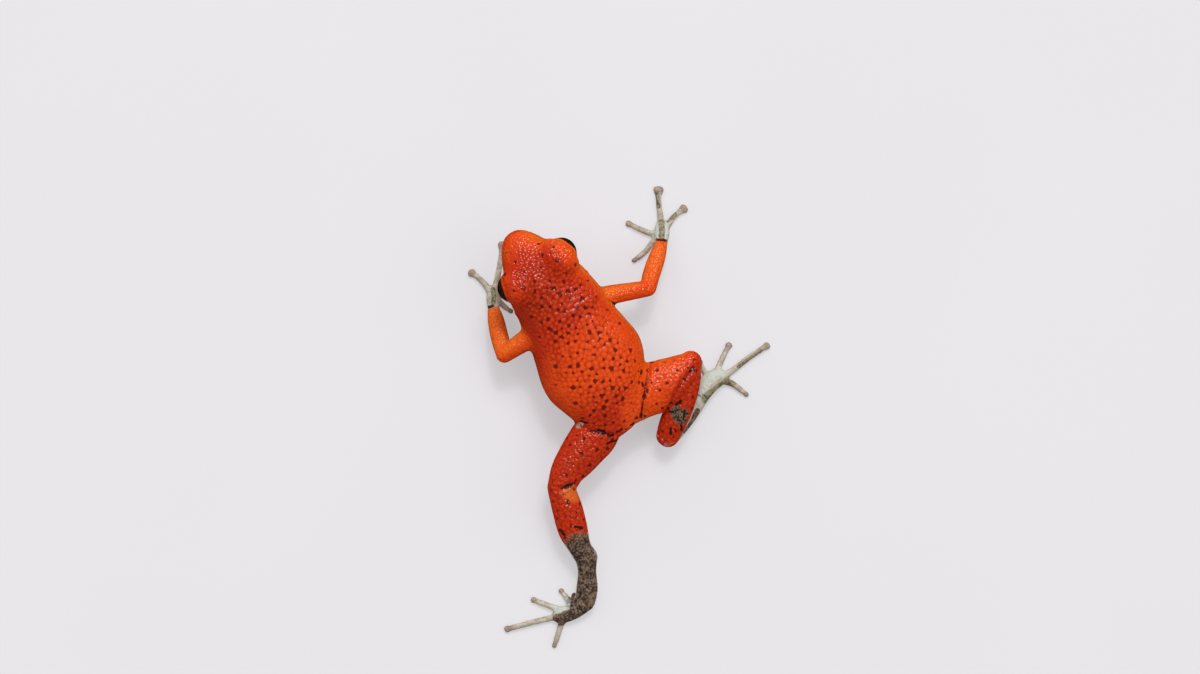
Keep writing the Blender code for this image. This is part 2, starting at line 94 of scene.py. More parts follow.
# Places on the head: forward, to the side, up.
EYE = (-0.45, 2.70, 6.60)
EYE_RADIUS = 1.35
UPPER_LID = (-0.75, 2.10, 7.00)
UPPER_LID_RADII = (2.10, 1.76, 1.65)
LOWER_LID = (-0.60, 2.05, 6.10)
LOWER_LID_RADII = (1.85, 1.58, 1.30)
NOSTRIL_FORWARD = 3.05
NOSTRIL_LEVEL = 6.40
NOSTRIL_RADIUS = 0.13
EARDRUM_FORWARD = -2.85
EARDRUM_LEVEL = 5.75
EARDRUM_RADIUS = 0.50
MOUTH_CORNER = -1.90

# Limb sections: x, y, z, half-width, half-height. A segment also has the last section of the one
# before it, where the two meet.
# Digits: half-width of the tip's disc, then x, y of the root, the knuckle, the bend and the tip.
ARMS = {
    "right": {
        "upper_arm": (
            (-2.65, -4.70, 4.60, 1.00, 1.05),
            (-4.55, -4.25, 4.30, 0.88, 0.95),
            (-6.30, -3.70, 3.85, 0.80, 0.85),
            (-7.75, -3.25, 3.45, 0.74, 0.76),
        ),
        "forearm": (
            (-8.65, -4.20, 2.75, 0.80, 0.76),
            (-9.95, -5.35, 1.90, 0.77, 0.72),
            (-11.15, -6.45, 1.00, 0.53, 0.48),
        ),
        "hand": (
            (-11.60, -7.20, 0.52, 0.70, 0.46),
            (-11.90, -7.85, 0.40, 0.55, 0.38),
        ),
        "fingers": (
            (0.26, (-11.25, -6.90), (-10.35, -6.75), (-9.30, -6.30), (-8.00, -6.10)),
            (0.34, (-11.40, -7.20), (-10.65, -7.60), (-9.95, -8.40), (-9.15, -9.50)),
            (0.52, (-11.65, -7.30), (-12.20, -8.60), (-12.65, -9.75), (-13.35, -11.10)),
            (0.45, (-11.80, -7.20), (-12.65, -7.65), (-13.50, -8.00), (-14.75, -8.20)),
        ),
    },
    "left": {
        "upper_arm": (
            (2.80, -4.40, 4.40, 1.10, 1.05),
            (4.05, -4.30, 4.20, 0.98, 1.00),
            (5.20, -4.20, 3.90, 0.88, 0.90),
            (6.55, -4.05, 3.40, 0.76, 0.78),
        ),
        "forearm": (
            (6.12, -5.70, 2.55, 0.82, 0.76),
            (5.62, -7.25, 1.65, 0.74, 0.66),
            (5.30, -8.25, 1.00, 0.52, 0.48),
        ),
        "hand": (
            (4.80, -9.05, 0.52, 0.70, 0.46),
            (4.45, -9.70, 0.40, 0.55, 0.38),
        ),
        "fingers": (
            (0.26, (5.05, -8.55), (4.50, -8.50), (4.30, -7.90), (3.90, -7.15)),
            (0.34, (4.70, -9.00), (3.85, -9.30), (3.15, -9.40), (2.35, -9.55)),
            (0.50, (4.60, -9.35), (3.65, -10.50), (2.70, -11.70), (1.55, -13.25)),
            (0.42, (4.75, -9.45), (4.90, -10.50), (5.20, -11.45), (5.65, -12.30)),
        ),
    },
}
LEGS = {
    "right": {
        "thigh": (
            (-1.05, 5.25, 3.40, 1.75, 1.60),
            (-3.10, 4.85, 3.50, 2.40, 1.65),
            (-4.55, 4.92, 3.60, 2.22, 1.60),
            (-5.90, 4.85, 3.70, 1.96, 1.48),
            (-7.15, 4.62, 3.75, 1.45, 1.28),
            (-8.00, 4.42, 3.70, 1.02, 1.05),
        ),
        "shank": (
            (-7.00, 5.85, 3.40, 1.14, 1.12),
            (-5.65, 7.25, 2.95, 1.22, 1.15),
            (-4.15, 8.50, 2.40, 1.22, 1.08),
            (-3.15, 9.40, 1.90, 1.05, 0.98),
        ),
        "tarsus": (
            (-5.55, 8.85, 0.95, 0.72, 0.60),
            (-7.80, 7.70, 0.75, 0.66, 0.55),
        ),
        "foot": (
            (-9.05, 6.95, 0.58, 0.93, 0.50),
            (-10.25, 6.90, 0.42, 0.82, 0.42),
        ),
        "toes": (
            (0.26, (-8.45, 7.25), (-8.25, 6.35), (-8.15, 5.70), (-8.05, 5.20)),
            (0.30, (-8.85, 7.05), (-9.05, 6.05), (-9.05, 5.40), (-9.15, 4.70)),
            (0.37, (-9.50, 6.85), (-10.45, 6.05), (-11.35, 5.35), (-12.40, 4.65)),
            (0.38, (-9.80, 7.05), (-11.55, 6.95), (-13.50, 6.60), (-15.50, 6.45)),
            (0.28, (-10.00, 7.10), (-10.80, 8.05), (-11.15, 8.75), (-11.55, 9.65)),
        ),
    },
    "left": {
        "thigh": (
            (1.40, 5.25, 3.30, 1.95, 1.60),
            (2.70, 6.20, 3.30, 2.04, 1.60),
            (3.80, 6.65, 3.25, 2.00, 1.55),
            (5.30, 7.35, 3.15, 1.80, 1.42),
            (6.50, 7.95, 3.05, 1.53, 1.32),
            (7.65, 8.88, 2.90, 1.22, 1.14),
        ),
        "shank": (
            (8.00, 10.80, 2.65, 1.38, 1.24),
            (8.45, 12.85, 2.30, 1.35, 1.20),
            (8.60, 14.55, 1.85, 1.03, 1.02),
            (8.50, 15.60, 1.50, 1.05, 0.92),
        ),
        "tarsus": (
            (9.00, 16.75, 1.15, 0.84, 0.74),
            (9.70, 18.10, 0.95, 0.98, 0.70),
            (10.40, 19.10, 0.80, 0.92, 0.64),
        ),
        "foot": (
            (11.65, 19.40, 0.62, 0.77, 0.52),
            (12.70, 19.25, 0.48, 0.78, 0.44),
            (13.30, 19.15, 0.42, 0.60, 0.42),
        ),
        "toes": (
            (0.25, (10.95, 19.20), (11.05, 18.75), (11.05, 18.40), (11.00, 18.00)),
            (0.29, (11.60, 19.25), (11.70, 18.60), (11.75, 17.90), (11.90, 17.10)),
            (0.31, (12.50, 19.20), (13.00, 18.45), (13.80, 17.60), (14.60, 16.65)),
            (0.36, (12.50, 19.40), (13.85, 19.00), (15.75, 18.50), (18.05, 17.95)),
            (0.26, (12.60, 19.55), (13.30, 19.95), (14.05, 20.70), (14.85, 21.45)),
        ),
    },
}
DIGIT_HALF_WIDTH = 0.27
DIGIT_HALF_HEIGHT = 0.27
ROOT_HALF_WIDTH = 0.46
ROOT_HALF_HEIGHT = 0.38
COURSE_STEPS = 12

# How a digit's width and height run, as shares of its own: place, share of width, share of height.
# Places on the stem count from the root in lengths to the knuckle, those on the disc count back
# from the tip in half-widths of the disc, and widths there are shares of the disc's half-width.
STEM = ((0.6, 1.25, 1.10), (1.0, 1.08, 1.00))
FLARE_BACK = 2.3
MIDDLE_WIDTH = 0.98
FLARE_WIDTH = 0.94
DISC = ((1.45, 0.70), (0.80, 1.00), (0.45, 0.90))
TIP_THINNING = 0.80

# Marks and creases reach further up and down than sideways, so that they meet the skin.
LINE_STRETCH = np.array((1, 1, 0.3))

# How fine the skin is made.
BODY_SIDES = 72
LIMB_SIDES = 28
BODY_SPAN = 6
LIMB_SPAN = 8
DOME_RINGS = 6
VOXEL = 0.114

# The eye's opening on the ball, in degrees from straight out to the side: forward and up.
OPENING_CENTRE = (18.0, -6.0)
OPENING_HALF = (60.0, 54.0)
EYE_DEPTH = 0.16
LID_CLEARANCE = 0.02
LID_ROLL = 0.045
LID_ROLL_WIDTH = 0.16

# Where the lids work on the skin, in millimetres out from the opening's rim: where they fade into
# the head, what counts as inside, and where the skin is clear of the eye. Then how near the rim a
# point is pulled onto it, and what is near an eye, in its radii and in millimetres outwards.
LID_BLEND = (0.7, 0.1)
INSIDE_RIM = -0.02
CLEAR_OF_RIM = (0.2, 0.4)
RIM_SNAP = 0.045
NEAR_EYE = 1.9
BEHIND_EYE = -0.4

# The left cheek, which is fuller because the head is turned: forward, to the side, up.
LEFT_CHEEK = (-2.2, -2.65, 5.8)
LEFT_CHEEK_RADII = (2.1, 1.18, 1.3)

# Small features of the head, in millimetres.
LIP_LIFT = 0.20
LIP_SWELL = 0.05
LINE_WIDTH = 0.11
MOUTH_DEPTH = 0.10
MOUTH_WIDTH = 0.085
NOSTRIL_DEPTH = 0.20
EARDRUM_RIM = 0.06
RIM_WIDTH = 0.12

# The grains of the skin: how far apart and how high, how much both vary, each grain's radius as
# a share of its spacing, and how much of its height lies below the skin. Then its spots.
GRAIN_SPACING = 0.36
GRAIN_HEIGHT = 0.05
SPACING_SHARES = (0.75, 1.25)
HEIGHT_SHARES = (0.6, 1.3)
GRAIN_RADIUS = 0.66
GRAIN_SINK = 0.62
CALM_ROUND_EYE = (1.5, 2.4)
SPOT_SPACING = 0.60
LIMB_SPOT_SPACING = 1.35
LIMB_SPOT_RADIUS = 0.8
SPOT_RADIUS = (0.03, 0.24)
SEED = 11

# A limb's own skin ends at this many of its half-thicknesses from its middle, and the way along
# it is counted no further than this from its turn to grey.
LIMB_EDGE = 1.45
FARTHEST = 3.0

# How often the skin's concave folds are filled out, how much of a fold each time, and after how
# many times the skin's directions are read again.
HEAD_FILLING = 160
CHEEK_FILLING = 110
FOLD_FILLING = 10
FILLING_SHARE = 0.9
NORMALS_EVERY = 10

# How often each measure of the skin is averaged with its neighbours.
TOP_BLUR = 8
ROUGH_BLUR = 6
WARMTH_BLUR = 40

# Where each limb turns from red to grey: a segment, and millimetres along it.
GREY_FROM = {
    ("arms", "right"): ("hand", -0.10),
    ("arms", "left"): ("hand", -0.35),
    ("legs", "right"): ("tarsus", 0.1),
    ("legs", "left"): ("shank", 4.55),
}

# Marks on the skin: half-width, then x, y, z of each point of a line.
# The frog's own black marks, and thin lines of painted shade along the creases of the thighs and the
# right knee.
BLACK_MARKS_AND_CREASE_SHADE = (
    (0.16, (-3.75, -4.2, 5.2), (-4.1, -3.6, 4.8), (-4.5, -3.2, 4.4)),
    # Painted shade along the crease between the right thigh and the torso.
    (0.09, (-4.4, 2.95, 4.4), (-4.0, 3.5, 4.9), (-3.3, 4.3, 5.1), (-2.7, 5.1, 5.1)),
    (0.09, (-2.7, 5.1, 5.1), (-2.2, 5.8, 4.95), (-1.6, 6.7, 4.3)),
    (0.15, (-3.6, 3.0, 5.4), (-3.4, 3.2, 5.3)),
    (0.13, (-3.1, 4.0, 5.3), (-3.0, 4.3, 5.2)),
    (0.18, (-2.75, 5.05, 5.1), (-2.6, 5.3, 5.1)),
    (0.16, (-1.75, 6.45, 4.5), (-1.6, 6.7, 4.3)),
    (0.10, (-0.8, 6.85, 4.2), (-0.45, 6.9, 4.35)),
    (0.10, (0.4, 6.8, 4.5), (0.7, 6.85, 4.5)),
    (0.14, (-7.9, 5.0, 4.7), (-7.4, 5.15, 4.85)),
    # Painted shade along the crease of the right knee.
    (0.07, (-7.4, 5.15, 4.85), (-6.5, 5.55, 5.0), (-5.7, 6.0, 4.9), (-5.0, 6.5, 4.7)),
    (0.07, (-5.0, 6.5, 4.7), (-4.4, 7.0, 4.1)),
    (0.17, (-5.0, 7.2, 4.3), (-5.5, 7.1, 4.3)),
    (0.14, (-4.2, 5.3, 5.2), (-4.2, 5.35, 5.2)),
    (0.11, (-4.2, 7.5, 3.6), (-4.5, 7.65, 3.7)),
    (0.11, (-5.45, 8.0, 3.8), (-5.0, 8.7, 3.7)),
    (0.12, (-3.6, 8.85, 3.3), (-3.4, 9.35, 3.1)),
    (0.10, (-3.9, 9.1, 3.2), (-3.9, 9.4, 3.1)),
    (0.13, (-4.6, 9.0, 3.4), (-4.45, 9.5, 2.95)),
    (0.12, (3.4, 4.45, 4.8), (2.95, 4.85, 4.9)),
    # Painted shade along the crease between the left thigh and the torso.
    (0.12, (3.05, 5.6, 4.8), (2.2, 6.15, 4.87), (1.5, 6.9, 4.55)),
    (0.27, (2.4, 6.0, 4.87), (2.1, 6.25, 4.87)),
    (0.16, (1.8, 6.85, 4.66), (1.4, 6.9, 4.5)),
    (0.12, (2.25, 7.35, 4.5), (1.9, 7.35, 4.4), (1.25, 7.5, 3.9)),
    (0.13, (7.7, 9.0, 4.0), (6.5, 9.15, 3.9)),
    (0.24, (7.3, 9.05, 4.0), (6.9, 9.1, 4.0)),
    (0.17, (9.5, 12.2, 3.4), (9.4, 12.8, 3.3)),
    (0.15, (8.2, 12.6, 3.5), (7.7, 13.0, 3.3)),
    (0.07, (-7.4, 7.3, 1.3), (-7.7, 7.9, 1.2)),
    (0.15, (-10.7, -6.85, 1.3), (-11.06, -6.59, 1.5), (-11.45, -6.33, 1.3)),
    (0.17, (5.65, -8.5, 1.3), (5.3, -8.45, 1.5)),
    (0.14, (-7.3, -4.45, 4.4), (-7.6, -4.5, 4.3)),
    (0.20, (3.9, -3.5, 4.2), (4.0, -3.4, 4.0)),
)
BROWN_MARKS = (
    (1.30, (8.7, 14.3, 2.6), (8.9, 15.6, 2.3), (9.2, 16.6, 1.9), (9.9, 18.1, 1.6), (10.8, 19.2, 1.3)),
    (0.62, (10.9, 19.5, 1.3), (12.2, 19.7, 1.0), (13.3, 19.5, 0.8)),
    (0.56, (-4.75, 7.75, 3.8), (-4.8, 8.6, 3.6)),
    (0.45, (-4.5, 7.85, 3.7), (-5.3, 8.2, 3.8)),
    (0.28, (-4.8, 9.9, 2.2), (-5.9, 9.3, 1.8), (-6.7, 8.7, 1.5)),
)
OLIVE_MARKS = (
    (0.60, (-8.1, 8.1, 1.1), (-8.9, 8.05, 0.9), (-9.9, 7.9, 0.7), (-10.7, 7.8, 0.5)),
    (0.16, (-8.3, 8.45, 0.9), (-10.3, 8.15, 0.5)),
    (0.30, (-11.2, -6.7, 1.2), (-11.7, -7.5, 1.0), (-12.0, -8.1, 0.8)),
    (0.24, (5.1, -8.7, 1.2), (4.7, -9.2, 0.9), (4.5, -9.8, 0.8)),
    (0.25, (-12.6, -7.9, 0.7), (-13.4, -8.1, 0.5)),
    (0.22, (-12.4, -9.4, 0.6), (-12.9, -10.6, 0.5)),
    (0.20, (-12.0, 6.9, 0.6), (-14.5, 6.6, 0.5)),
)
ORANGE_MARKS = (
    (0.80, (7.3, 9.6, 3.9), (6.9, 10.1, 3.6)),
    (0.60, (-4.3, -2.9, 4.9), (-4.6, -2.0, 4.6)),
)
CREAM_MARKS = (
    (0.24, (3.75, 4.75, 4.1), (3.45, 4.7, 4.4)),
)
PALE_MARKS = (
    (0.60, (-5.2, 8.3, 2.0), (-6.6, 7.8, 1.6), (-7.6, 7.2, 1.4)),
    (0.75, (-11.2, -6.6, 1.0), (-11.8, -7.6, 0.7)),
    (0.60, (-8.2, 7.0, 1.0), (-9.2, 6.5, 0.8), (-10.3, 6.6, 0.7)),
    (0.55, (12.9, 18.4, 0.8), (11.9, 18.6, 0.8), (11.1, 18.6, 0.8)),
    (0.40, (8.0, 15.6, 2.0), (8.1, 17.0, 1.4), (8.9, 18.6, 1.0)),
)

# Lines along which one part of the body is folded against the next: x, y, z of each point.
CREASES = (
    ((-4.4, 2.95, 4.4), (-4.0, 3.5, 4.9), (-3.3, 4.3, 5.1), (-2.7, 5.1, 5.1), (-1.6, 6.7, 4.3)),
    ((-7.9, 5.0, 4.7), (-6.5, 5.55, 5.0), (-5.7, 6.0, 4.9), (-5.0, 6.5, 4.7), (-4.0, 7.3, 3.4)),
    ((3.75, 4.7, 4.05), (3.05, 5.6, 4.8), (2.2, 6.15, 4.87), (1.45, 6.9, 4.55)),
    ((7.95, 8.95, 4.0), (6.55, 9.15, 3.9)),
)

# How deep and wide a crease is, how high it swells beside it as a share of its depth, and between
# which levels above the floor it fades in.
CREASE_DEPTH = 0.20
CREASE_WIDTH = 0.15
CREASE_SWELL = 0.3
CREASE_FLOOR = (2.6, 3.2)


def smooth(rows, per_span):
    """Rows of numbers read from a Catmull-Rom curve through the given rows."""
    found = []
    last = len(rows) - 1
    for i in range(last):
        around = (rows[max(i - 1, 0)], rows[i], rows[i + 1], rows[min(i + 2, last)])
        for step in range(per_span):
            t = step / per_span
            found.append(tuple(catmull_rom(t, *values) for values in zip(*around)))
    found.append(tuple(rows[last]))
    return found


def catmull_rom(t, before, start, end, after):
    slope_in = (end - before) / 2
    slope_out = (after - start) / 2
    rise = end - start
    return (
        start
        + slope_in * t
        + (3 * rise - 2 * slope_in - slope_out) * t ** 2
        + (slope_in + slope_out - 2 * rise) * t ** 3
    )


def squared(value, fullness):
    """A sine or cosine bent so that a section is fuller than an ellipse."""
    return math.copysign(abs(value) ** (2 / fullness), value)


def mesh_of(bm, name):
    """Turns the shape in the making into a mesh of its own."""
    mesh = bpy.data.meshes.new(name)
    bm.to_mesh(mesh)
    bm.free()
    return mesh


def linked(name, data):
    """An object of the given data, in the scene."""
    obj = bpy.data.objects.new(name, data)
    bpy.context.scene.collection.objects.link(obj)
    return obj


def section(centre, side, up, half_width, above, below, sides, fullness):
    points = []
    for i in range(sides):
        angle = 2 * math.pi * i / sides
        across = squared(math.cos(angle), fullness) * half_width
        level = squared(math.sin(angle), fullness)
        points.append(centre + side * across + up * level * (above if level > 0 else below))
    return points


def loft(body, rings, first_pole, last_pole):
    """Draws a closed body out through the rings, gathers each end to its pole, and adds it."""
    bm = bmesh.new()
    start = bmesh.ops.create_circle(bm, cap_ends=False, segments=len(rings[0]), radius=1)["verts"]
    for vert, point in zip(start, rings[0]):
        vert.co = point
    end = start
    for ring in rings[1:]:
        end = draw_out(bm, end)
        for vert, point in zip(end, ring):
            vert.co = point
    for loop, pole in ((start, first_pole), (end, last_pole)):
        bmesh.ops.pointmerge(bm, verts=draw_out(bm, loop), merge_co=pole)
    mesh = mesh_of(bm, "loft")
    body.from_mesh(mesh)
    bpy.data.meshes.remove(mesh)


def draw_out(bm, loop):
    """Extrudes a ring of vertices, and returns the new ring in the same order."""
    ring = set(loop)
    edges = {edge for vert in loop for edge in vert.link_edges}
    rim = [edge for edge in edges if edge.is_boundary or not edge.link_faces]
    rim = [edge for edge in rim if edge.verts[0] in ring and edge.verts[1] in ring]
    made = bmesh.ops.extrude_edge_only(bm, edges=rim)["geom"]
    new = {item for item in made if isinstance(item, bmesh.types.BMVert)}
    grown = []
    for vert in loop:
        grown.extend(edge.other_vert(vert) for edge in vert.link_edges if edge.other_vert(vert) in new)
    return grown


def tube(bm, rows, sides=LIMB_SIDES, per_span=LIMB_SPAN):
    """A limb or digit: round sections along a smooth path, with a dome at each end."""
    path = smooth(rows, per_span)
    centres = [Vector(row[:3]) for row in path]
    rings = []
    for i, row in enumerate(path):
        ahead = (centres[min(i + 1, len(path) - 1)] - centres[max(i - 1, 0)]).normalized()
        rings.append((centres[i], ahead, row[3], row[4]))
    first = [dome_ring(rings[0], -1, k / DOME_RINGS) for k in range(DOME_RINGS - 1, 0, -1)]
    last = [dome_ring(rings[-1], 1, k / DOME_RINGS) for k in range(1, DOME_RINGS)]
    sections = []
    for centre, ahead, half_width, half_height in first + rings + last:
        side = ahead.cross(Vector((0, 0, 1))).normalized()
        up = side.cross(ahead)
        sections.append(
            section(centre, side, up, half_width, half_height, half_height, sides, LIMB_FULLNESS)
        )
    loft(bm, sections, dome_ring(rings[0], -1, 1)[0], dome_ring(rings[-1], 1, 1)[0])


def dome_ring(ring, way, share):
    """The ring at a share of a quarter turn round the dome on an end ring."""
    centre, ahead, half_width, half_height = ring
    turn = share * math.pi / 2
    reach = min(half_width, half_height) * math.sin(turn)
    shrink = math.cos(turn)
    return centre + ahead * (way * reach), ahead, half_width * shrink, half_height * shrink


def body_section(centre, side, half_width, top, level, bottom):
    """A section of the torso or the head, which is widest at the given level."""
    up = Vector((0, 0, 1))
    above = top - level
    below = level - bottom
    return section(centre, side, up, half_width, above, below, BODY_SIDES, BODY_FULLNESS)


def torso(bm):
    rings = []
    side = Vector((1, 0, 0))
    for y, x, half_width, top, widest, bottom in smooth(TORSO, BODY_SPAN):
        centre = Vector((x, y, widest))
        rings.append(body_section(centre, side, half_width, top, widest, bottom))
    y, x, _, _, widest, _ = TORSO[0]
    loft(bm, rings, Vector((x, y, widest)), Vector(TORSO_END))


def on_head(forward, aside, level):
    """A place on the head, with aside counted to the frog's right."""
    ahead = Vector((math.sin(HEAD_YAW), -math.cos(HEAD_YAW), 0))
    right = Vector((-math.cos(HEAD_YAW), -math.sin(HEAD_YAW), 0))
    return BROW + ahead * forward + right * aside + Vector((0, 0, level))


def head_way(forward, aside):
    """A level direction: so much along the head's axis, and so much to the frog's right."""
    return on_head(forward, aside, 0) - on_head(0, 0, 0)


def eye_centre(side):
    """The middle of the right eye for side 1, and of the left eye for side -1."""
    forward, aside, level = EYE
    return on_head(forward, side * aside, level)


def head_profile(forward):
    """Half-width, top, lip level and bottom of the head at a distance forward."""
    rows = smooth(HEAD, BODY_SPAN)
    for near, far in zip(rows, rows[1:]):
        if near[0] <= forward <= far[0]:
            share = (forward - near[0]) / (far[0] - near[0])
            return [a + (b - a) * share for a, b in zip(near[1:], far[1:])]
    return rows[-1][1:]


def on_head_side(forward, level, side):
    """The place on the head's skin at a distance forward and a level above the lips."""
    half_width, top, lips, _ = head_profile(forward)
    share = (level - lips) / (top - lips)
    out = half_width * (1 - share ** BODY_FULLNESS) ** (1 / BODY_FULLNESS)
    return on_head(forward, side * out, level)


def skull(bm):
    rings = []
    side = head_way(0, 1)
    for forward, half_width, top, lips, bottom in smooth(HEAD, BODY_SPAN):
        centre = on_head(forward, 0, lips)
        rings.append(body_section(centre, side, half_width, top, lips, bottom))
    nape = on_head(HEAD[0][0], 0, HEAD[0][3])
    loft(bm, rings, nape, on_head(SNOUT_TIP[0], 0, SNOUT_TIP[1]))


def lid_swelling(bm, centre, radii):
    """An ellipsoid whose first radius lies along the head's axis."""
    made = bmesh.ops.create_uvsphere(bm, u_segments=48, v_segments=32, radius=1)["verts"]
    turn = Matrix.Rotation(HEAD_YAW - math.pi / 2, 4, "Z")
    size = Matrix.Diagonal((radii[0], radii[1], radii[2], 1))
    bmesh.ops.transform(bm, verts=made, matrix=Matrix.Translation(centre) @ turn @ size)


def digit_rows(row):
    """A digit's course: x, y, z, half-width and half-height from its root to its disc."""
    disc = row[0]
    course = smooth(row[1:], COURSE_STEPS)
    lengths = [0.0]
    for (x0, y0), (x1, y1) in zip(course, course[1:]):
        lengths.append(lengths[-1] + math.hypot(x1 - x0, y1 - y0))
    whole = lengths[-1]
    knuckle = lengths[COURSE_STEPS]
    flare = whole - FLARE_BACK * disc
    stations = [(0.0, ROOT_HALF_WIDTH, ROOT_HALF_HEIGHT)]
    for share, width, height in STEM:
        stations.append((share * knuckle, width * DIGIT_HALF_WIDTH, height * DIGIT_HALF_HEIGHT))
    for distance, width in (((knuckle + flare) / 2, MIDDLE_WIDTH), (flare, FLARE_WIDTH)):
        stations.append((distance, width * DIGIT_HALF_WIDTH, DIGIT_HALF_HEIGHT))
    for back, width in DISC:
        half_width = max(width * disc, width * DIGIT_HALF_WIDTH)
        stations.append((whole - back * disc, half_width, TIP_THINNING * DIGIT_HALF_HEIGHT))
    rows = []
    for distance, half_width, half_height in stations:
        place = place_along(course, lengths, distance)
        rows.append((*place, half_height - FLOOR_SINK, half_width, half_height))
    return rows


def place_along(course, lengths, distance):
    for i in range(1, len(lengths)):
        if lengths[i] >= distance:
            share = (distance - lengths[i - 1]) / (lengths[i] - lengths[i - 1])
            return [a + (b - a) * share for a, b in zip(course[i - 1], course[i])]
    return course[-1]


def limb_parts():
    """Each limb's kind and side, with its segments' rows and its digits' rows in order."""
    found = []
    for kind, limbs, digits in (("arms", ARMS, "fingers"), ("legs", LEGS, "toes")):
        for side, parts in limbs.items():
            segments = {}
            joint = ()
            for part, rows in parts.items():
                if part != digits:
                    segments[part] = joint + rows
                    joint = rows[-1:]
            found.append((kind, side, segments, [digit_rows(row) for row in parts[digits]]))
    return found


def fused_body():
    """One closed surface round all the flesh, as points, its faces and its edges."""
    bm = bmesh.new()
    torso(bm)
    skull(bm)
    for side in (1, -1):
        for (forward, aside, level), radii in (
            (UPPER_LID, UPPER_LID_RADII),
            (LOWER_LID, LOWER_LID_RADII),
        ):
            lid_swelling(bm, on_head(forward, side * aside, level), radii)
    lid_swelling(bm, on_head(*LEFT_CHEEK), LEFT_CHEEK_RADII)
    for _, _, segments, digits in limb_parts():
        for rows in list(segments.values()) + digits:
            tube(bm, rows)
    bmesh.ops.recalc_face_normals(bm, faces=bm.faces)
    obj = linked("frog_skin", mesh_of(bm, "frog_skin"))
    remesh = obj.modifiers.new("fuse", "REMESH")
    remesh.mode = "VOXEL"
    remesh.voxel_size = VOXEL
    graph = bpy.context.evaluated_depsgraph_get()
    fused = bpy.data.meshes.new_from_object(obj.evaluated_get(graph))
    obj.modifiers.clear()
    obj.data = fused
    return obj


class Surface:
    """The skin's points in millimetres, with what moves and marks them."""

    def __init__(self, obj):
        self.mesh = obj.data
        count = len(self.mesh.vertices)
        flat = np.empty(count * 3, np.float32)
        self.mesh.vertices.foreach_get("co", flat)
        self.points = flat.reshape(-1, 3).astype(float)
        pairs = np.empty(len(self.mesh.edges) * 2, np.int32)
        self.mesh.edges.foreach_get("vertices", pairs)
        self.edges = pairs.reshape(-1, 2)
        self.neighbours = np.maximum(np.bincount(pairs, minlength=count), 1)

    def store(self):
        self.mesh.vertices.foreach_set("co", self.points.astype(np.float32).ravel())
        self.mesh.update()

    def normals(self):
        self.store()
        flat = np.empty(len(self.points) * 3, np.float32)
        self.mesh.vertex_normals.foreach_get("vector", flat)
        return flat.reshape(-1, 3).astype(float)

    def averaged(self, values):
        """Each point's value replaced by the mean of its neighbours' values."""
        one, other = self.edges.T
        total = np.bincount(one, values[other], len(values))
        total += np.bincount(other, values[one], len(values))
        return total / self.neighbours

    def blurred(self, values, rounds):
        """The values averaged with their neighbours' a number of times."""
        for _ in range(rounds):
            values = self.averaged(values)
        return values

    def relax(self, rounds, share):
        for _ in range(rounds):
            mean = np.stack([self.averaged(self.points[:, k]) for k in range(3)], axis=1)
            self.points += share * (mean - self.points)

    def fill_folds(self, rounds, where):
        """Lets concave folds grow outwards only, into soft rounds."""
        chosen = np.flatnonzero(where > 0)
        edges = self.edges[(where[self.edges] > 0).any(axis=1)].T
        for turn in range(rounds):
            if turn % NORMALS_EVERY == 0:
                normals = self.normals()[chosen]
            total = np.zeros((len(self.points), 3))
            for near, far in (edges, edges[::-1]):
                for k in range(3):
                    total[:, k] += np.bincount(near, self.points[far, k], len(total))
            mean = total[chosen] / self.neighbours[chosen, None]
            out = np.clip(((mean - self.points[chosen]) * normals).sum(axis=1), 0, None)
            self.points[chosen] += normals * (FILLING_SHARE * out * where[chosen])[:, None]

    def even_out(self, rounds):
        """Smooths without shrinking, by a step in and a slightly longer step out."""
        for _ in range(rounds):
            self.relax(1, 0.5)
            self.relax(1, -0.52)

    def mark(self, name, values):
        found = self.mesh.attributes.new(name, "FLOAT", "POINT")
        found.data.foreach_set("value", np.asarray(values, np.float32))


def soft_step(low, high, values):
    t = np.clip((values - low) / (high - low), 0, 1)
    return t * t * (3 - 2 * t)


def hump(distance, width):
    return np.exp(-((distance / width) ** 2))


def to_line(points, line):
    """Each point's distance to a line of points, with less weight on its height."""
    points = points * LINE_STRETCH
    line = np.array(line) * LINE_STRETCH
    best = np.full(len(points), np.inf)
    for start, way in zip(line, np.diff(line, axis=0)):
        share = np.clip((points - start) @ way / float(np.linalg.norm(way)) ** 2, 0, 1)
        best = np.minimum(best, np.linalg.norm(points - start - share[:, None] * way, axis=1))
    return best


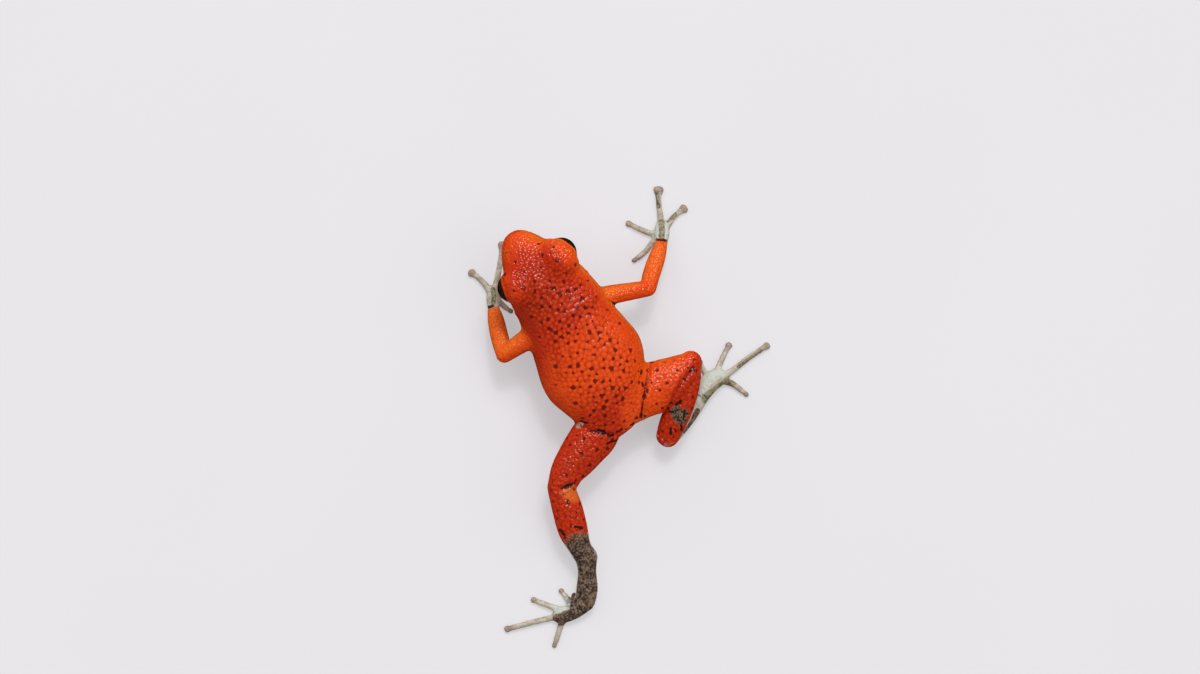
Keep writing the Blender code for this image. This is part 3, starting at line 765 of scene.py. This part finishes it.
def open_eyes(skin):
    """Opens the skin over each eyeball into two lids, and returns 0 in the eyes, 1 elsewhere."""
    clear = np.ones(len(skin.points))
    ahead = np.array(head_way(1, 0))
    for side in (1, -1):
        centre = np.array(eye_centre(side))
        out = np.array(head_way(0, side))
        arm = skin.points - centre
        radius = np.linalg.norm(arm, axis=1)
        near = np.flatnonzero((radius < NEAR_EYE * EYE_RADIUS) & (arm @ out > BEHIND_EYE))
        w = arm[near]
        r = radius[near]
        azimuth = np.degrees(np.arctan2(w @ ahead, w @ out)) - OPENING_CENTRE[0]
        height = np.degrees(np.arcsin(np.clip(w[:, 2] / r, -1, 1))) - OPENING_CENTRE[1]
        reach = np.hypot(azimuth / OPENING_HALF[0], height / OPENING_HALF[1])
        pull = np.where(np.abs(reach - 1) < RIM_SNAP, 1 / reach, 1.0)
        azimuth = np.radians(azimuth * pull + OPENING_CENTRE[0])
        height = np.radians(height * pull + OPENING_CENTRE[1])
        reach = reach * pull
        gap = (reach - 1) * math.radians(sum(OPENING_HALF) / 2) * EYE_RADIUS
        inside = EYE_RADIUS - EYE_DEPTH
        lid = EYE_RADIUS + LID_CLEARANCE + LID_ROLL * hump(gap - LID_ROLL_WIDTH, LID_ROLL_WIDTH)
        fade = soft_step(*LID_BLEND, gap)
        r = np.where(gap < INSIDE_RIM, np.minimum(r, inside), lid * fade + r * (1 - fade))
        flat = np.cos(height)
        skin.points[near] = centre + r[:, None] * (
            (flat * np.cos(azimuth))[:, None] * out
            + (flat * np.sin(azimuth))[:, None] * ahead
            + np.sin(height)[:, None] * np.array([0, 0, 1.0])
        )
        clear[near] = soft_step(*CLEAR_OF_RIM, gap)
    return clear


def to_mouth(points):
    """Each point's distance to the line of the mouth, which ends below the eyes."""
    forward, _, height = head_place(points)
    rows = np.array(smooth(HEAD, BODY_SPAN))
    level = np.interp(forward, rows[:, 0], rows[:, 3])
    return np.hypot(height - level, np.clip(MOUTH_CORNER - forward, 0, None))


def to_pair(points, forward, level):
    """Each point's distance to the nearer of two places, one on each side of the head."""
    pair = []
    for side in (1, -1):
        place = np.array(on_head_side(forward, level, side))
        middle = points[np.linalg.norm(points - place, axis=1).argmin()]
        pair.append(np.linalg.norm(points - middle, axis=1))
    return np.minimum(*pair)


def shape_head(skin):
    """Works the mouth, lips, nostrils and eardrums in, and returns their painted shade and what is
    calm.
    """
    mouth = to_mouth(skin.points)
    nostrils = to_pair(skin.points, NOSTRIL_FORWARD, NOSTRIL_LEVEL)
    drums = to_pair(skin.points, EARDRUM_FORWARD, EARDRUM_LEVEL)
    lift = LIP_SWELL * hump(mouth - LIP_LIFT, LINE_WIDTH) - MOUTH_DEPTH * hump(mouth, MOUTH_WIDTH)
    lift -= NOSTRIL_DEPTH * hump(nostrils, 1.2 * NOSTRIL_RADIUS)
    lift += 0.25 * NOSTRIL_DEPTH * hump(nostrils - 2 * NOSTRIL_RADIUS, 0.7 * NOSTRIL_RADIUS)
    lift += EARDRUM_RIM * hump(drums - EARDRUM_RADIUS, RIM_WIDTH)
    lift -= EARDRUM_RIM * soft_step(EARDRUM_RADIUS, 0.5 * EARDRUM_RADIUS, drums)
    skin.points += skin.normals() * lift[:, None]
    # Painted shade in the groove of the mouth, in the nostrils and round the rims of the eardrums.
    dark = np.maximum(hump(mouth, LINE_WIDTH), hump(nostrils, 1.3 * NOSTRIL_RADIUS))
    dark = np.maximum(dark, 0.5 * hump(drums - EARDRUM_RADIUS, LINE_WIDTH))
    return dark, hump(drums, 1.1 * EARDRUM_RADIUS)


def press_creases(skin):
    """Presses a groove into the skin along each crease, between two soft swellings."""
    lift = np.zeros(len(skin.points))
    for line in CREASES:
        distance = to_line(skin.points, line)
        lift -= CREASE_DEPTH * hump(distance, CREASE_WIDTH)
        lift += CREASE_SWELL * CREASE_DEPTH * hump(distance - 3 * CREASE_WIDTH, 1.5 * CREASE_WIDTH)
    lift *= soft_step(*CREASE_FLOOR, skin.points[:, 2])
    skin.points += skin.normals() * lift[:, None]


def head_place(points):
    """How far forward, how far aside and how high each point lies in the head's own frame."""
    arm = points - np.array(on_head(0, 0, 0))
    ahead = np.array(head_way(1, 0))
    out = np.array(head_way(0, 1))
    return arm @ ahead, np.abs(arm @ out), points[:, 2]


def warmth_and_side_light(points, top, leg):
    """0 where the red skin is deepest, 1 where it is most orange, with painted light that makes the
    right flank more orange than the left.
    """
    forward, aside, _ = head_place(points)
    turned_away = soft_step(0.5, 2.5, points[:, 0]) * soft_step(1.5, -2.0, points[:, 1])
    # Painted light: the right flank is made more orange than the left, and the left front, turned away
    # from the light, is made deeper red as painted shade.
    lit_side = np.where(points[:, 0] < 0, 1.0, 0.55)
    warm = soft_step(0.9, 0.2, top) * lit_side * (1 - 0.75 * turned_away)
    snout = soft_step(0.2, 3.0, forward) * (0.5 + 0.5 * soft_step(0.4, 1.5, aside))
    lids = 0.55 * soft_step(1.7, 2.7, aside) * soft_step(-2.6, -1.2, forward)
    back = 0.42 * soft_step(-5.5, -1.5, points[:, 1]) * soft_step(5.5, 1.5, points[:, 1])
    warm = np.maximum(np.maximum(warm, back), np.maximum(snout, lids))
    behind = points[:, 1] - 5.0 - 0.59 * (points[:, 0] + 7.9)
    edge = 0.30 * soft_step(0.9, 0.3, top)
    right = 0.62 * soft_step(0.2, -1.4, behind) + edge - 0.15
    left = edge - 0.10
    arm = np.where(points[:, 1] < -4.0, 0.80, 0.50)
    limb = np.where(leg < 0, arm, np.where(points[:, 0] < 0, right, left))
    crown = 0.14 * soft_step(-7.5, -5.0, forward) * soft_step(1.0, -0.5, forward)
    crown *= soft_step(2.2, 1.2, aside)
    warm = np.where(leg == 0, warm - crown - 0.25 * turned_away, limb)
    return np.clip(warm, -0.6, 1)


def limb_measures(points):
    """How far past its turn to grey each point lies on its limb, and how far out on a digit."""
    best = np.full(len(points), LIMB_EDGE)
    reach = np.full(len(points), -FARTHEST)
    tip = np.zeros(len(points))
    leg = np.zeros(len(points))
    for kind, side, segments, digits in limb_parts():
        paths = {part: np.array(smooth(rows, LIMB_SPAN)) for part, rows in segments.items()}
        turn, offset = GREY_FROM[kind, side]
        names = list(paths)
        gone = -offset - sum(path_length(paths[part]) for part in names[: names.index(turn)])
        for path in paths.values():
            share, along = nearness(points, path)
            nearer = share < best
            best = np.where(nearer, share, best)
            reach = np.where(nearer, gone + along, reach)
            leg = np.where(nearer, 1.0 if kind == "legs" else -1.0, leg)
            gone += path_length(path)
        for rows in digits:
            path = np.array(smooth(rows, LIMB_SPAN))
            share, along = nearness(points, path)
            nearer = share < best
            best = np.where(nearer, share, best)
            reach = np.where(nearer, FARTHEST, reach)
            tip = np.where(nearer, along / path_length(path), tip)
    return np.clip(reach, -FARTHEST, FARTHEST), tip, leg


def path_length(path):
    return float(np.linalg.norm(np.diff(path[:, :3], axis=0), axis=1).sum())


def nearness(points, path):
    """Distance to a path as a share of its thickness there, and the length along it."""
    low = path[:, :3].min(axis=0) - 2.5
    high = path[:, :3].max(axis=0) + 2.5
    near = np.flatnonzero(((points > low) & (points < high)).all(axis=1))
    share = np.full(len(points), 99.0)
    along = np.zeros(len(points))
    lengths = np.concatenate([[0], np.cumsum(np.linalg.norm(np.diff(path[:, :3], axis=0), axis=1))])
    gaps = np.linalg.norm(points[near][:, None, :] - path[None, :, :3], axis=2)
    gaps = gaps / (0.5 * (path[:, 3] + path[:, 4]))[None, :]
    best = gaps.argmin(axis=1)
    share[near] = gaps[np.arange(len(near)), best]
    along[near] = lengths[best]
    return share, along


def line_field(points, marks):
    """1 on the middle of the nearest mark, 0 at its edge and below 0 beyond it."""
    field = np.full(len(points), -3.0)
    for half_width, *line in marks:
        field = np.maximum(field, 1 - to_line(points, line) / half_width)
    return field


def tree_of(points):
    tree = kdtree.KDTree(len(points))
    for i, point in enumerate(points):
        tree.insert(point, i)
    tree.balance()
    return tree


def scattered(points, tree, order, spacing):
    """Picks points in the given order, each at least its own spacing from those before it."""
    taken = spacing <= 0
    picked = []
    for i in order:
        if not taken[i]:
            picked.append(i)
            for _, j, _ in tree.find_range(points[i], spacing[i]):
                taken[j] = True
    return np.array(picked)


def nearest(points, seeds):
    """Distance to the nearest seed, and its number."""
    tree = tree_of(seeds)
    found = [tree.find(point) for point in points]
    distance = np.array([gap for _, _, gap in found])
    return distance, np.array([number for _, number, _ in found])


def roughness_map(points, on_limb, leg, top):
    """1 where the skin is coarsest, down the middle of the back, and 0 where it is smooth."""
    rows = np.array(smooth(TORSO, BODY_SPAN))
    middle = np.interp(points[:, 1], rows[:, 0], rows[:, 1])
    half_width = np.interp(points[:, 1], rows[:, 0], rows[:, 2])
    across = np.abs(points[:, 0] - middle) / half_width
    back = soft_step(0.92, 0.45, across)
    forward, aside, _ = head_place(points)
    crown = 0.30 + 0.50 * soft_step(0.8, -3.2, forward)
    crown *= soft_step(3.6, 2.2, aside)
    share = soft_step(-5.0, -3.2, forward)
    rough = back * (1 - share) + crown * share
    limb = np.where(leg > 0, 0.45, 0.2)
    return np.where(on_limb, limb, rough) * soft_step(0.1, 0.6, top)


def raise_grains(skin, rng, rough, calm, reach, on_limb, leg):
    """Lifts the grains of the skin, and marks their height, tone and the black spots."""
    points = skin.points
    tree = tree_of(points)
    order = rng.permutation(len(points))
    size = GRAIN_SPACING * np.where(on_limb, 0.95, 0.85 + 0.15 * rough)
    size = size * rng.uniform(*SPACING_SHARES, len(points))
    seeds = scattered(points, tree, order, size)
    near, number = nearest(points, points[seeds])
    grain = np.clip(1 - (near / (GRAIN_RADIUS * size[seeds][number])) ** 2, 0, 1)
    vigour = rng.uniform(*HEIGHT_SHARES, len(seeds))[number]
    eyes = [np.array(eye_centre(side)) for side in (1, -1)]
    to_eye = np.minimum(*[np.linalg.norm(points - eye, axis=1) for eye in eyes])
    height = (0.10 + 0.90 * rough) * (0.2 + 0.8 * soft_step(*CALM_ROUND_EYE, to_eye)) * (1 - calm)
    lift = GRAIN_HEIGHT * height * vigour * (np.sqrt(grain) - GRAIN_SINK)
    skin.points = points + skin.normals() * lift[:, None]
    skin.mark("grain", grain)
    skin.mark("tone", rng.uniform(0, 1, len(seeds))[number])

    forward, _, _ = head_place(points)
    spacing = SPOT_SPACING / np.clip(0.25 + 0.85 * rough, 0.3, 1.0)
    spacing = np.where(on_limb, SPOT_SPACING * LIMB_SPOT_SPACING, spacing)
    bare = (rough < 0.16) | (forward > 1.8) | (reach > -0.4) | (on_limb & (leg < 0))
    spacing = np.where(bare, 0.0, spacing)
    junctions = order[np.argsort(-near[order])]
    spots = scattered(points, tree, junctions[: len(junctions) // 3], spacing)
    gap, which = nearest(points, points[spots])
    radius = rng.uniform(*SPOT_RADIUS, len(spots))
    radius = radius * np.where(on_limb[spots], LIMB_SPOT_RADIUS, 1.0)
    skin.mark("spots", np.clip(1 - gap / radius[which], -3, 1))


def flesh():
    """The frog's one skin, with its marks, still in millimetres."""
    obj = fused_body()
    skin = Surface(obj)
    skin.even_out(3)
    forward, aside, height = head_place(skin.points)
    by_eyes = soft_step(-4.4, -3.0, forward) * soft_step(2.8, 1.8, forward)
    by_eyes *= soft_step(5.2, 6.2, height)
    throat = soft_step(-7.0, -5.0, forward) * soft_step(0.5, -1.0, forward)
    throat *= soft_step(4.4, 3.8, height)
    throat *= soft_step(3.2, 2.4, aside)
    skin.fill_folds(HEAD_FILLING, np.maximum(by_eyes, throat))
    skin.fill_folds(FOLD_FILLING, np.ones(len(skin.points)))
    skin.relax(2, 0.5)
    clear = open_eyes(skin)
    forward, aside, height = head_place(skin.points)
    cheek_end = np.where(skin.points[:, 0] > 0, -7.5, -4.5)
    cheeks = soft_step(0, 0.8, forward - cheek_end) * soft_step(0.3, -0.5, forward)
    cheeks *= soft_step(1.4, 1.9, aside) * soft_step(4.0, 4.6, height)
    skin.fill_folds(CHEEK_FILLING, cheeks * clear)
    dark, calm = shape_head(skin)
    press_creases(skin)
    top = skin.blurred(skin.normals()[:, 2], TOP_BLUR)
    reach, tip, leg = limb_measures(skin.points)
    on_limb = leg != 0
    rough = skin.blurred(roughness_map(skin.points, on_limb, leg, top), ROUGH_BLUR)
    rng = np.random.default_rng(SEED)
    raise_grains(skin, rng, rough, calm, reach, on_limb, leg)
    warm = skin.blurred(warmth_and_side_light(skin.points, top, leg), WARMTH_BLUR)
    for name, values in (
        ("top", top),
        ("rough", rough),
        ("reach", reach),
        ("tip", tip),
        ("warm", warm),
        ("dark", dark),
    ):
        skin.mark(name, values)
    for name, marks in (
        ("black", BLACK_MARKS_AND_CREASE_SHADE),
        ("brown", BROWN_MARKS),
        ("olive", OLIVE_MARKS),
        ("orange", ORANGE_MARKS),
        ("cream", CREAM_MARKS),
        ("pale", PALE_MARKS),
    ):
        skin.mark(name, line_field(skin.points, marks))
    skin.points[:, 2] = np.maximum(skin.points[:, 2], 0)
    skin.store()
    return obj


def eyeball(side):
    """One eye as a finer ball in millimetres, marked with how far each point is from its pupil."""
    centre = eye_centre(side)
    bm = bmesh.new()
    bmesh.ops.create_uvsphere(bm, u_segments=96, v_segments=64, radius=EYE_RADIUS)
    bmesh.ops.translate(bm, verts=bm.verts, vec=centre)
    obj = linked("eye_right_ball" if side > 0 else "eye_left_ball", mesh_of(bm, "eyeball"))
    turn = math.radians(OPENING_CENTRE[0])
    gaze = head_way(math.sin(turn), side * math.cos(turn))
    across = gaze.cross(Vector((0, 0, 1))).normalized()
    ball = Surface(obj)
    arm = (ball.points - np.array(centre)) / EYE_RADIUS
    ball.mark("pupil", np.where(arm @ gaze > 0, np.hypot(0.8 * (arm @ across), arm[:, 2]), 1))
    return obj


class Value:
    """A number that varies over a surface: a socket whose arithmetic adds Math nodes."""

    def __init__(self, shader, socket):
        self.shader = shader
        self.socket = socket

    def maths(self, operation, first, second=None):
        inputs = {0: first} if second is None else {0: first, 1: second}
        return self.shader.node("ShaderNodeMath", {"operation": operation}, inputs)

    def __add__(self, other):
        return self.maths("ADD", self, other)

    def __sub__(self, other):
        return self.maths("SUBTRACT", self, other)

    def __rsub__(self, other):
        return self.maths("SUBTRACT", other, self)

    def __mul__(self, other):
        return self.maths("MULTIPLY", self, other)

    __radd__ = __add__
    __rmul__ = __mul__

    def between(self, low, high):
        """0 below low, 1 above high, and a smooth rise from one to the other."""
        settings = {"interpolation_type": "SMOOTHSTEP"}
        inputs = {"Value": self, "From Min": low, "From Max": high}
        return self.shader.node("ShaderNodeMapRange", settings, inputs)


class Shader:
    """A material in the making."""

    def __init__(self, name):
        self.material = bpy.data.materials.new(name)
        self.material.use_nodes = True
        self.tree = self.material.node_tree
        self.surface = self.tree.nodes["Principled BSDF"]

    def node(self, kind, settings=None, inputs=None, output=0):
        """Adds a node, gives it its settings, then its inputs, and returns one of its outputs."""
        made = self.tree.nodes.new(kind)
        for name, value in (settings or {}).items():
            setattr(made, name, value)
        for name, value in (inputs or {}).items():
            self.feed(made.inputs[name], value)
        return Value(self, made.outputs[output])

    def feed(self, socket, value):
        if isinstance(value, Value):
            self.tree.links.new(value.socket, socket)
        else:
            socket.default_value = value

    def attribute(self, name):
        return self.node("ShaderNodeAttribute", {"attribute_name": name}, output="Fac")

    def noise(self, size, detail=2.0, roughness=0.5):
        """Noise in the object's own space, with features of about the given size in mm."""
        place = self.node("ShaderNodeTexCoord", output="Object")
        inputs = {
            "Vector": place,
            "Scale": 1 / (size * MM),
            "Detail": detail,
            "Roughness": roughness,
        }
        return self.node("ShaderNodeTexNoise", inputs=inputs)

    def cells(self, size):
        """Distance from the middle of the nearest cell, for cells of about the given size in mm."""
        place = self.node("ShaderNodeTexCoord", output="Object")
        inputs = {"Vector": place, "Scale": 1 / (size * MM)}
        return self.node("ShaderNodeTexVoronoi", inputs=inputs, output="Distance")

    def mix(self, share, first, second):
        """The first colour where the share is 0, the second where it is 1."""
        inputs = {0: share, 6: first, 7: second}
        return self.node("ShaderNodeMix", {"data_type": "RGBA"}, inputs, output=2)

    def layered(self, colour, *layers):
        """Lays colours over the first one, each with its share before it."""
        for share, over in layers:
            colour = self.mix(share, colour, rgb(*over))
        return colour

    def finish(self, **inputs):
        for name, value in inputs.items():
            socket = name.replace("_", " ").title().replace("Ior", "IOR")
            self.feed(self.surface.inputs[socket], value)
        return self.material


def rgb(red, green, blue):
    """A colour read off a screen, in the 0 to 255 steps it is shown in, as linear light."""
    found = []
    for value in (red, green, blue):
        value /= 255
        found.append(value / 12.92 if value <= 0.04045 else ((value + 0.055) / 1.055) ** 2.4)
    return (*found, 1)


def skin_material():
    shader = Shader("frog_skin")
    grain = shader.attribute("grain")
    tone = shader.attribute("tone")
    top = shader.attribute("top")
    rough = shader.attribute("rough")
    broad = shader.noise(2.4)
    blotch = shader.noise(0.55, 3.0)
    fine = shader.noise(0.16, 3.0)
    bead = shader.cells(0.28)
    beads = 1 - 1.6 * bead * bead
    dots = 1 - shader.cells(0.20)

    # Red skin: deep red on the crown, more orange on the flanks, the arms and round the snout; painted
    # light makes the right flank more orange than the left.
    warm = shader.attribute("warm") + 0.30 * (broad - 0.5) + 0.12 * (tone - 0.5)
    red = shader.mix(warm.between(-0.6, 0.05), rgb(138, 34, 12), rgb(192, 44, 9))
    # Painted highlight on the tops of the grains and painted shade in the crevices between them,
    # strongest where the skin is coarse.
    painted_grain_highlight = grain.between(0.45, 0.95) * rough.between(0.1, 0.7)
    painted_crevice_shade = (1 - grain).between(0.45, 1.0) * rough.between(0.15, 0.7)
    red = shader.layered(
        red,
        (warm.between(0.0, 0.5), (228, 72, 12)),
        (warm.between(0.45, 1.0), (240, 110, 28)),
        (0.25 * painted_grain_highlight, (242, 96, 30)),
        (0.34 * painted_crevice_shade, (112, 20, 6)),
        (0.5 * shader.attribute("orange").between(-0.2, 0.6), (240, 124, 44)),
        (0.8 * shader.attribute("cream").between(-0.2, 0.5), (190, 184, 164)),
        (0.8 * (0 - top).between(0.2, 0.7), (140, 70, 52)),
    )

    # Grey skin of the hands and feet: stone grey, browner on the pads, with paler blotches.
    pale = shader.attribute("pale") + 0.8 * (blotch - 0.5)
    grey = shader.mix(blotch.between(0.35, 0.65), rgb(172, 159, 140), rgb(200, 189, 171))
    grey = shader.mix(0.85 * pale.between(-0.2, 0.4), grey, rgb(196, 204, 192))
    tip = shader.attribute("tip")
    grey = shader.mix(0.6 * tip.between(0.78, 0.92), grey, rgb(140, 112, 98))
    speck = 0.6 * dots + 0.9 * (blotch - 0.5) + 0.9 * (fine - 0.5)
    dark = shader.mix(speck.between(0.05, 0.60), rgb(50, 39, 33), rgb(138, 112, 92))
    olive = shader.mix(speck.between(0.05, 0.50), rgb(74, 64, 46), rgb(150, 138, 104))
    banded = (shader.attribute("olive") + 1.1 * (blotch - 0.5)).between(-0.1, 0.25)
    grey = shader.mix(0.9 * banded, grey, olive)
    brown = (shader.attribute("brown") + 0.9 * (blotch - 0.5)).between(-0.1, 0.15)
    grey = shader.mix(brown * top.between(0.10, 0.40), grey, dark)

    ragged = 1.1 * (fine - 0.5) + 0.5 * (blotch - 0.5)
    past = (shader.attribute("reach") + 1.1 * (blotch - 0.5)).between(-0.10, 0.10)
    patch = (shader.attribute("brown") + 1.5 * ragged).between(0.0, 0.15) * (1 - past)
    colour = shader.mix(past, red, grey)
    colour = shader.mix(patch, colour, dark)
    spots = (shader.attribute("spots") + 1.2 * (0.40 - grain) + ragged).between(0.0, 0.40)
    # Black marks, with painted shade along the creases of the thighs and the right knee.
    marks = (shader.attribute("black") + 1.2 * ragged).between(0.0, 0.25)
    colour = shader.layered(
        colour,
        (0.80 * spots * (1 - past), (70, 16, 10)),
        (0.93 * marks, (34, 20, 18)),
        # Painted shade in the mouth, the nostrils and round the eardrums.
        (0.8 * shader.attribute("dark").between(0.2, 0.9), (58, 14, 10)),
    )

    height = beads * (1.25 - rough) * (1 - 0.5 * past) + 0.35 * fine
    bump = {"Strength": 0.8, "Distance": 0.09 * MM, "Height": height}
    return shader.finish(
        base_color=colour,
        roughness=0.12 + 0.20 * fine + 0.20 * past,
        specular_ior_level=0.5,
        normal=shader.node("ShaderNodeBump", inputs=bump),
    )


def eye_material():
    shader = Shader("frog_eye")
    pupil = shader.attribute("pupil")
    flecks = shader.noise(0.18, 3.0)
    iris = shader.mix(flecks.between(0.35, 0.65), rgb(26, 17, 12), rgb(52, 34, 22))
    colour = shader.mix(pupil.between(0.38, 0.43), rgb(7, 6, 6), iris)
    # Painted sheen: away from the pupil, the ball is made grey-blue.
    colour = shader.mix(pupil.between(0.70, 1.00), colour, rgb(62, 64, 74))
    return shader.finish(base_color=colour, roughness=0.08 + 0.05 * flecks, specular_ior_level=0.3)


def floor_material():
    shader = Shader("pale_floor")
    mottle = shader.noise(40, 2.0)
    colour = shader.mix(mottle.between(0.3, 0.7), rgb(167, 165, 168), rgb(169, 167, 170))
    return shader.finish(
        base_color=colour,
        roughness=0.85 + 0.05 * mottle,
        emission_color=rgb(246, 244, 247),
        emission_strength=FLOOR_GLOW,
    )


def place_and_paint(obj, shift, material):
    """Moves a shape from millimetres in the frog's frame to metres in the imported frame."""
    obj.data.transform(Matrix.Translation(shift) @ Matrix.Scale(MM, 4))
    obj.data.shade_smooth()
    obj.data.materials.clear()
    obj.data.materials.append(material)
    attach(obj, "root")
    return obj


def flat_plate(name, half_size, place, material):
    bm = bmesh.new()
    bmesh.ops.create_grid(bm, x_segments=1, y_segments=1, size=half_size)
    bmesh.ops.translate(bm, verts=bm.verts, vec=place)
    obj = linked(name, mesh_of(bm, name))
    obj.data.materials.append(material)
    return obj


# The camera of the photograph, in millimetres in the frog's frame: it looks down from high above,
# with the frog's snout to the upper left.
FOCAL_PIXELS = 3778
PICTURE_WIDTH = 1200
PICTURE_MIDDLE = (600, 337)
CAMERA_DISTANCE = 340
CAMERA_TURN = math.radians(28)
CAMERA_TILT = math.radians(5)
AIM = Vector((0, 0, 4))
AIM_PIXEL = (590, 360)
LIGHT_DISTANCE = 1.2
WORLD_STRENGTH = 0.42
FLOOR_GLOW = 0.42
FLOOR_HALF_SIZE = 3.0


def camera_axes():
    """The picture's right, its up and the way back to the camera."""
    tilt = Matrix.Rotation(CAMERA_TILT, 3, "Y")
    right = tilt @ Vector((-math.cos(CAMERA_TURN), math.sin(CAMERA_TURN), 0))
    up = tilt @ Vector((-math.sin(CAMERA_TURN), -math.cos(CAMERA_TURN), 0))
    return right, up, right.cross(up)


def add_camera(shift):
    right, up, back = camera_axes()
    aside = (AIM_PIXEL[0] - PICTURE_MIDDLE[0]) / FOCAL_PIXELS
    above = (PICTURE_MIDDLE[1] - AIM_PIXEL[1]) / FOCAL_PIXELS
    place = AIM - CAMERA_DISTANCE * (right * aside + up * above - back)
    data = bpy.data.cameras.new("photo_camera")
    data.sensor_width = 36
    data.lens = FOCAL_PIXELS / PICTURE_WIDTH * data.sensor_width
    data.clip_start = 0.01
    data.clip_end = 10
    obj = linked("photo_camera", data)
    turn = Matrix((right, up, back)).transposed().to_4x4()
    obj.matrix_world = Matrix.Translation(place * MM + shift) @ turn
    bpy.context.scene.camera = obj


def add_softbox(name, watts, size, way, mirrored):
    """A square soft light that shines on the frog, and that its skin may mirror."""
    data = bpy.data.lights.new(name, "AREA")
    data.shape = "SQUARE"
    data.size = size
    data.energy = watts
    obj = linked(name, data)
    way = way.normalized()
    turn = way.to_track_quat("Z", "Y").to_matrix().to_4x4()
    obj.matrix_world = Matrix.Translation(way * LIGHT_DISTANCE) @ turn
    obj.visible_glossy = mirrored


def add_light():
    right, up, _ = camera_axes()
    overhead = Vector((0, 0, 1))
    add_softbox("key", 5.6, 0.55, up * 0.75 + right * 0.1 + overhead, True)
    add_softbox("glint", 1.9, 0.11, up * 0.70 + right * 0.05 + overhead, True)
    add_softbox("right", 3.5, 1.30, overhead - up * 0.2 + right * 0.95, False)
    add_softbox("left", 4.0, 1.30, overhead * 0.9 + up * 0.65 - right * 0.85, False)
    world = bpy.data.worlds.new("studio")
    world.use_nodes = True
    background = world.node_tree.nodes["Background"]
    background.inputs["Color"].default_value = (1, 1, 1, 1)
    background.inputs["Strength"].default_value = WORLD_STRENGTH
    world.cycles_visibility.glossy = False
    bpy.context.scene.world = world
    bpy.context.scene.view_settings.view_transform = "Standard"


def main():
    low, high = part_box("eye_right")
    shift = (low + high) / 2 - eye_centre(1) * MM
    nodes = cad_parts
    flesh_nodes = [name for name in nodes if not name.startswith("eye_")]
    skin = place_and_paint(flesh(), shift, skin_material())
    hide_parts(*flesh_nodes)
    paint = eye_material()
    for side, name in ((1, "eye_right"), (-1, "eye_left")):
        ball = place_and_paint(eyeball(side), shift, paint)
        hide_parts(name)
    floor = flat_plate("floor", FLOOR_HALF_SIZE, Vector((0, 0, 0)), floor_material())
    floor.visible_glossy = False
    add_camera(shift)
    add_light()


main()
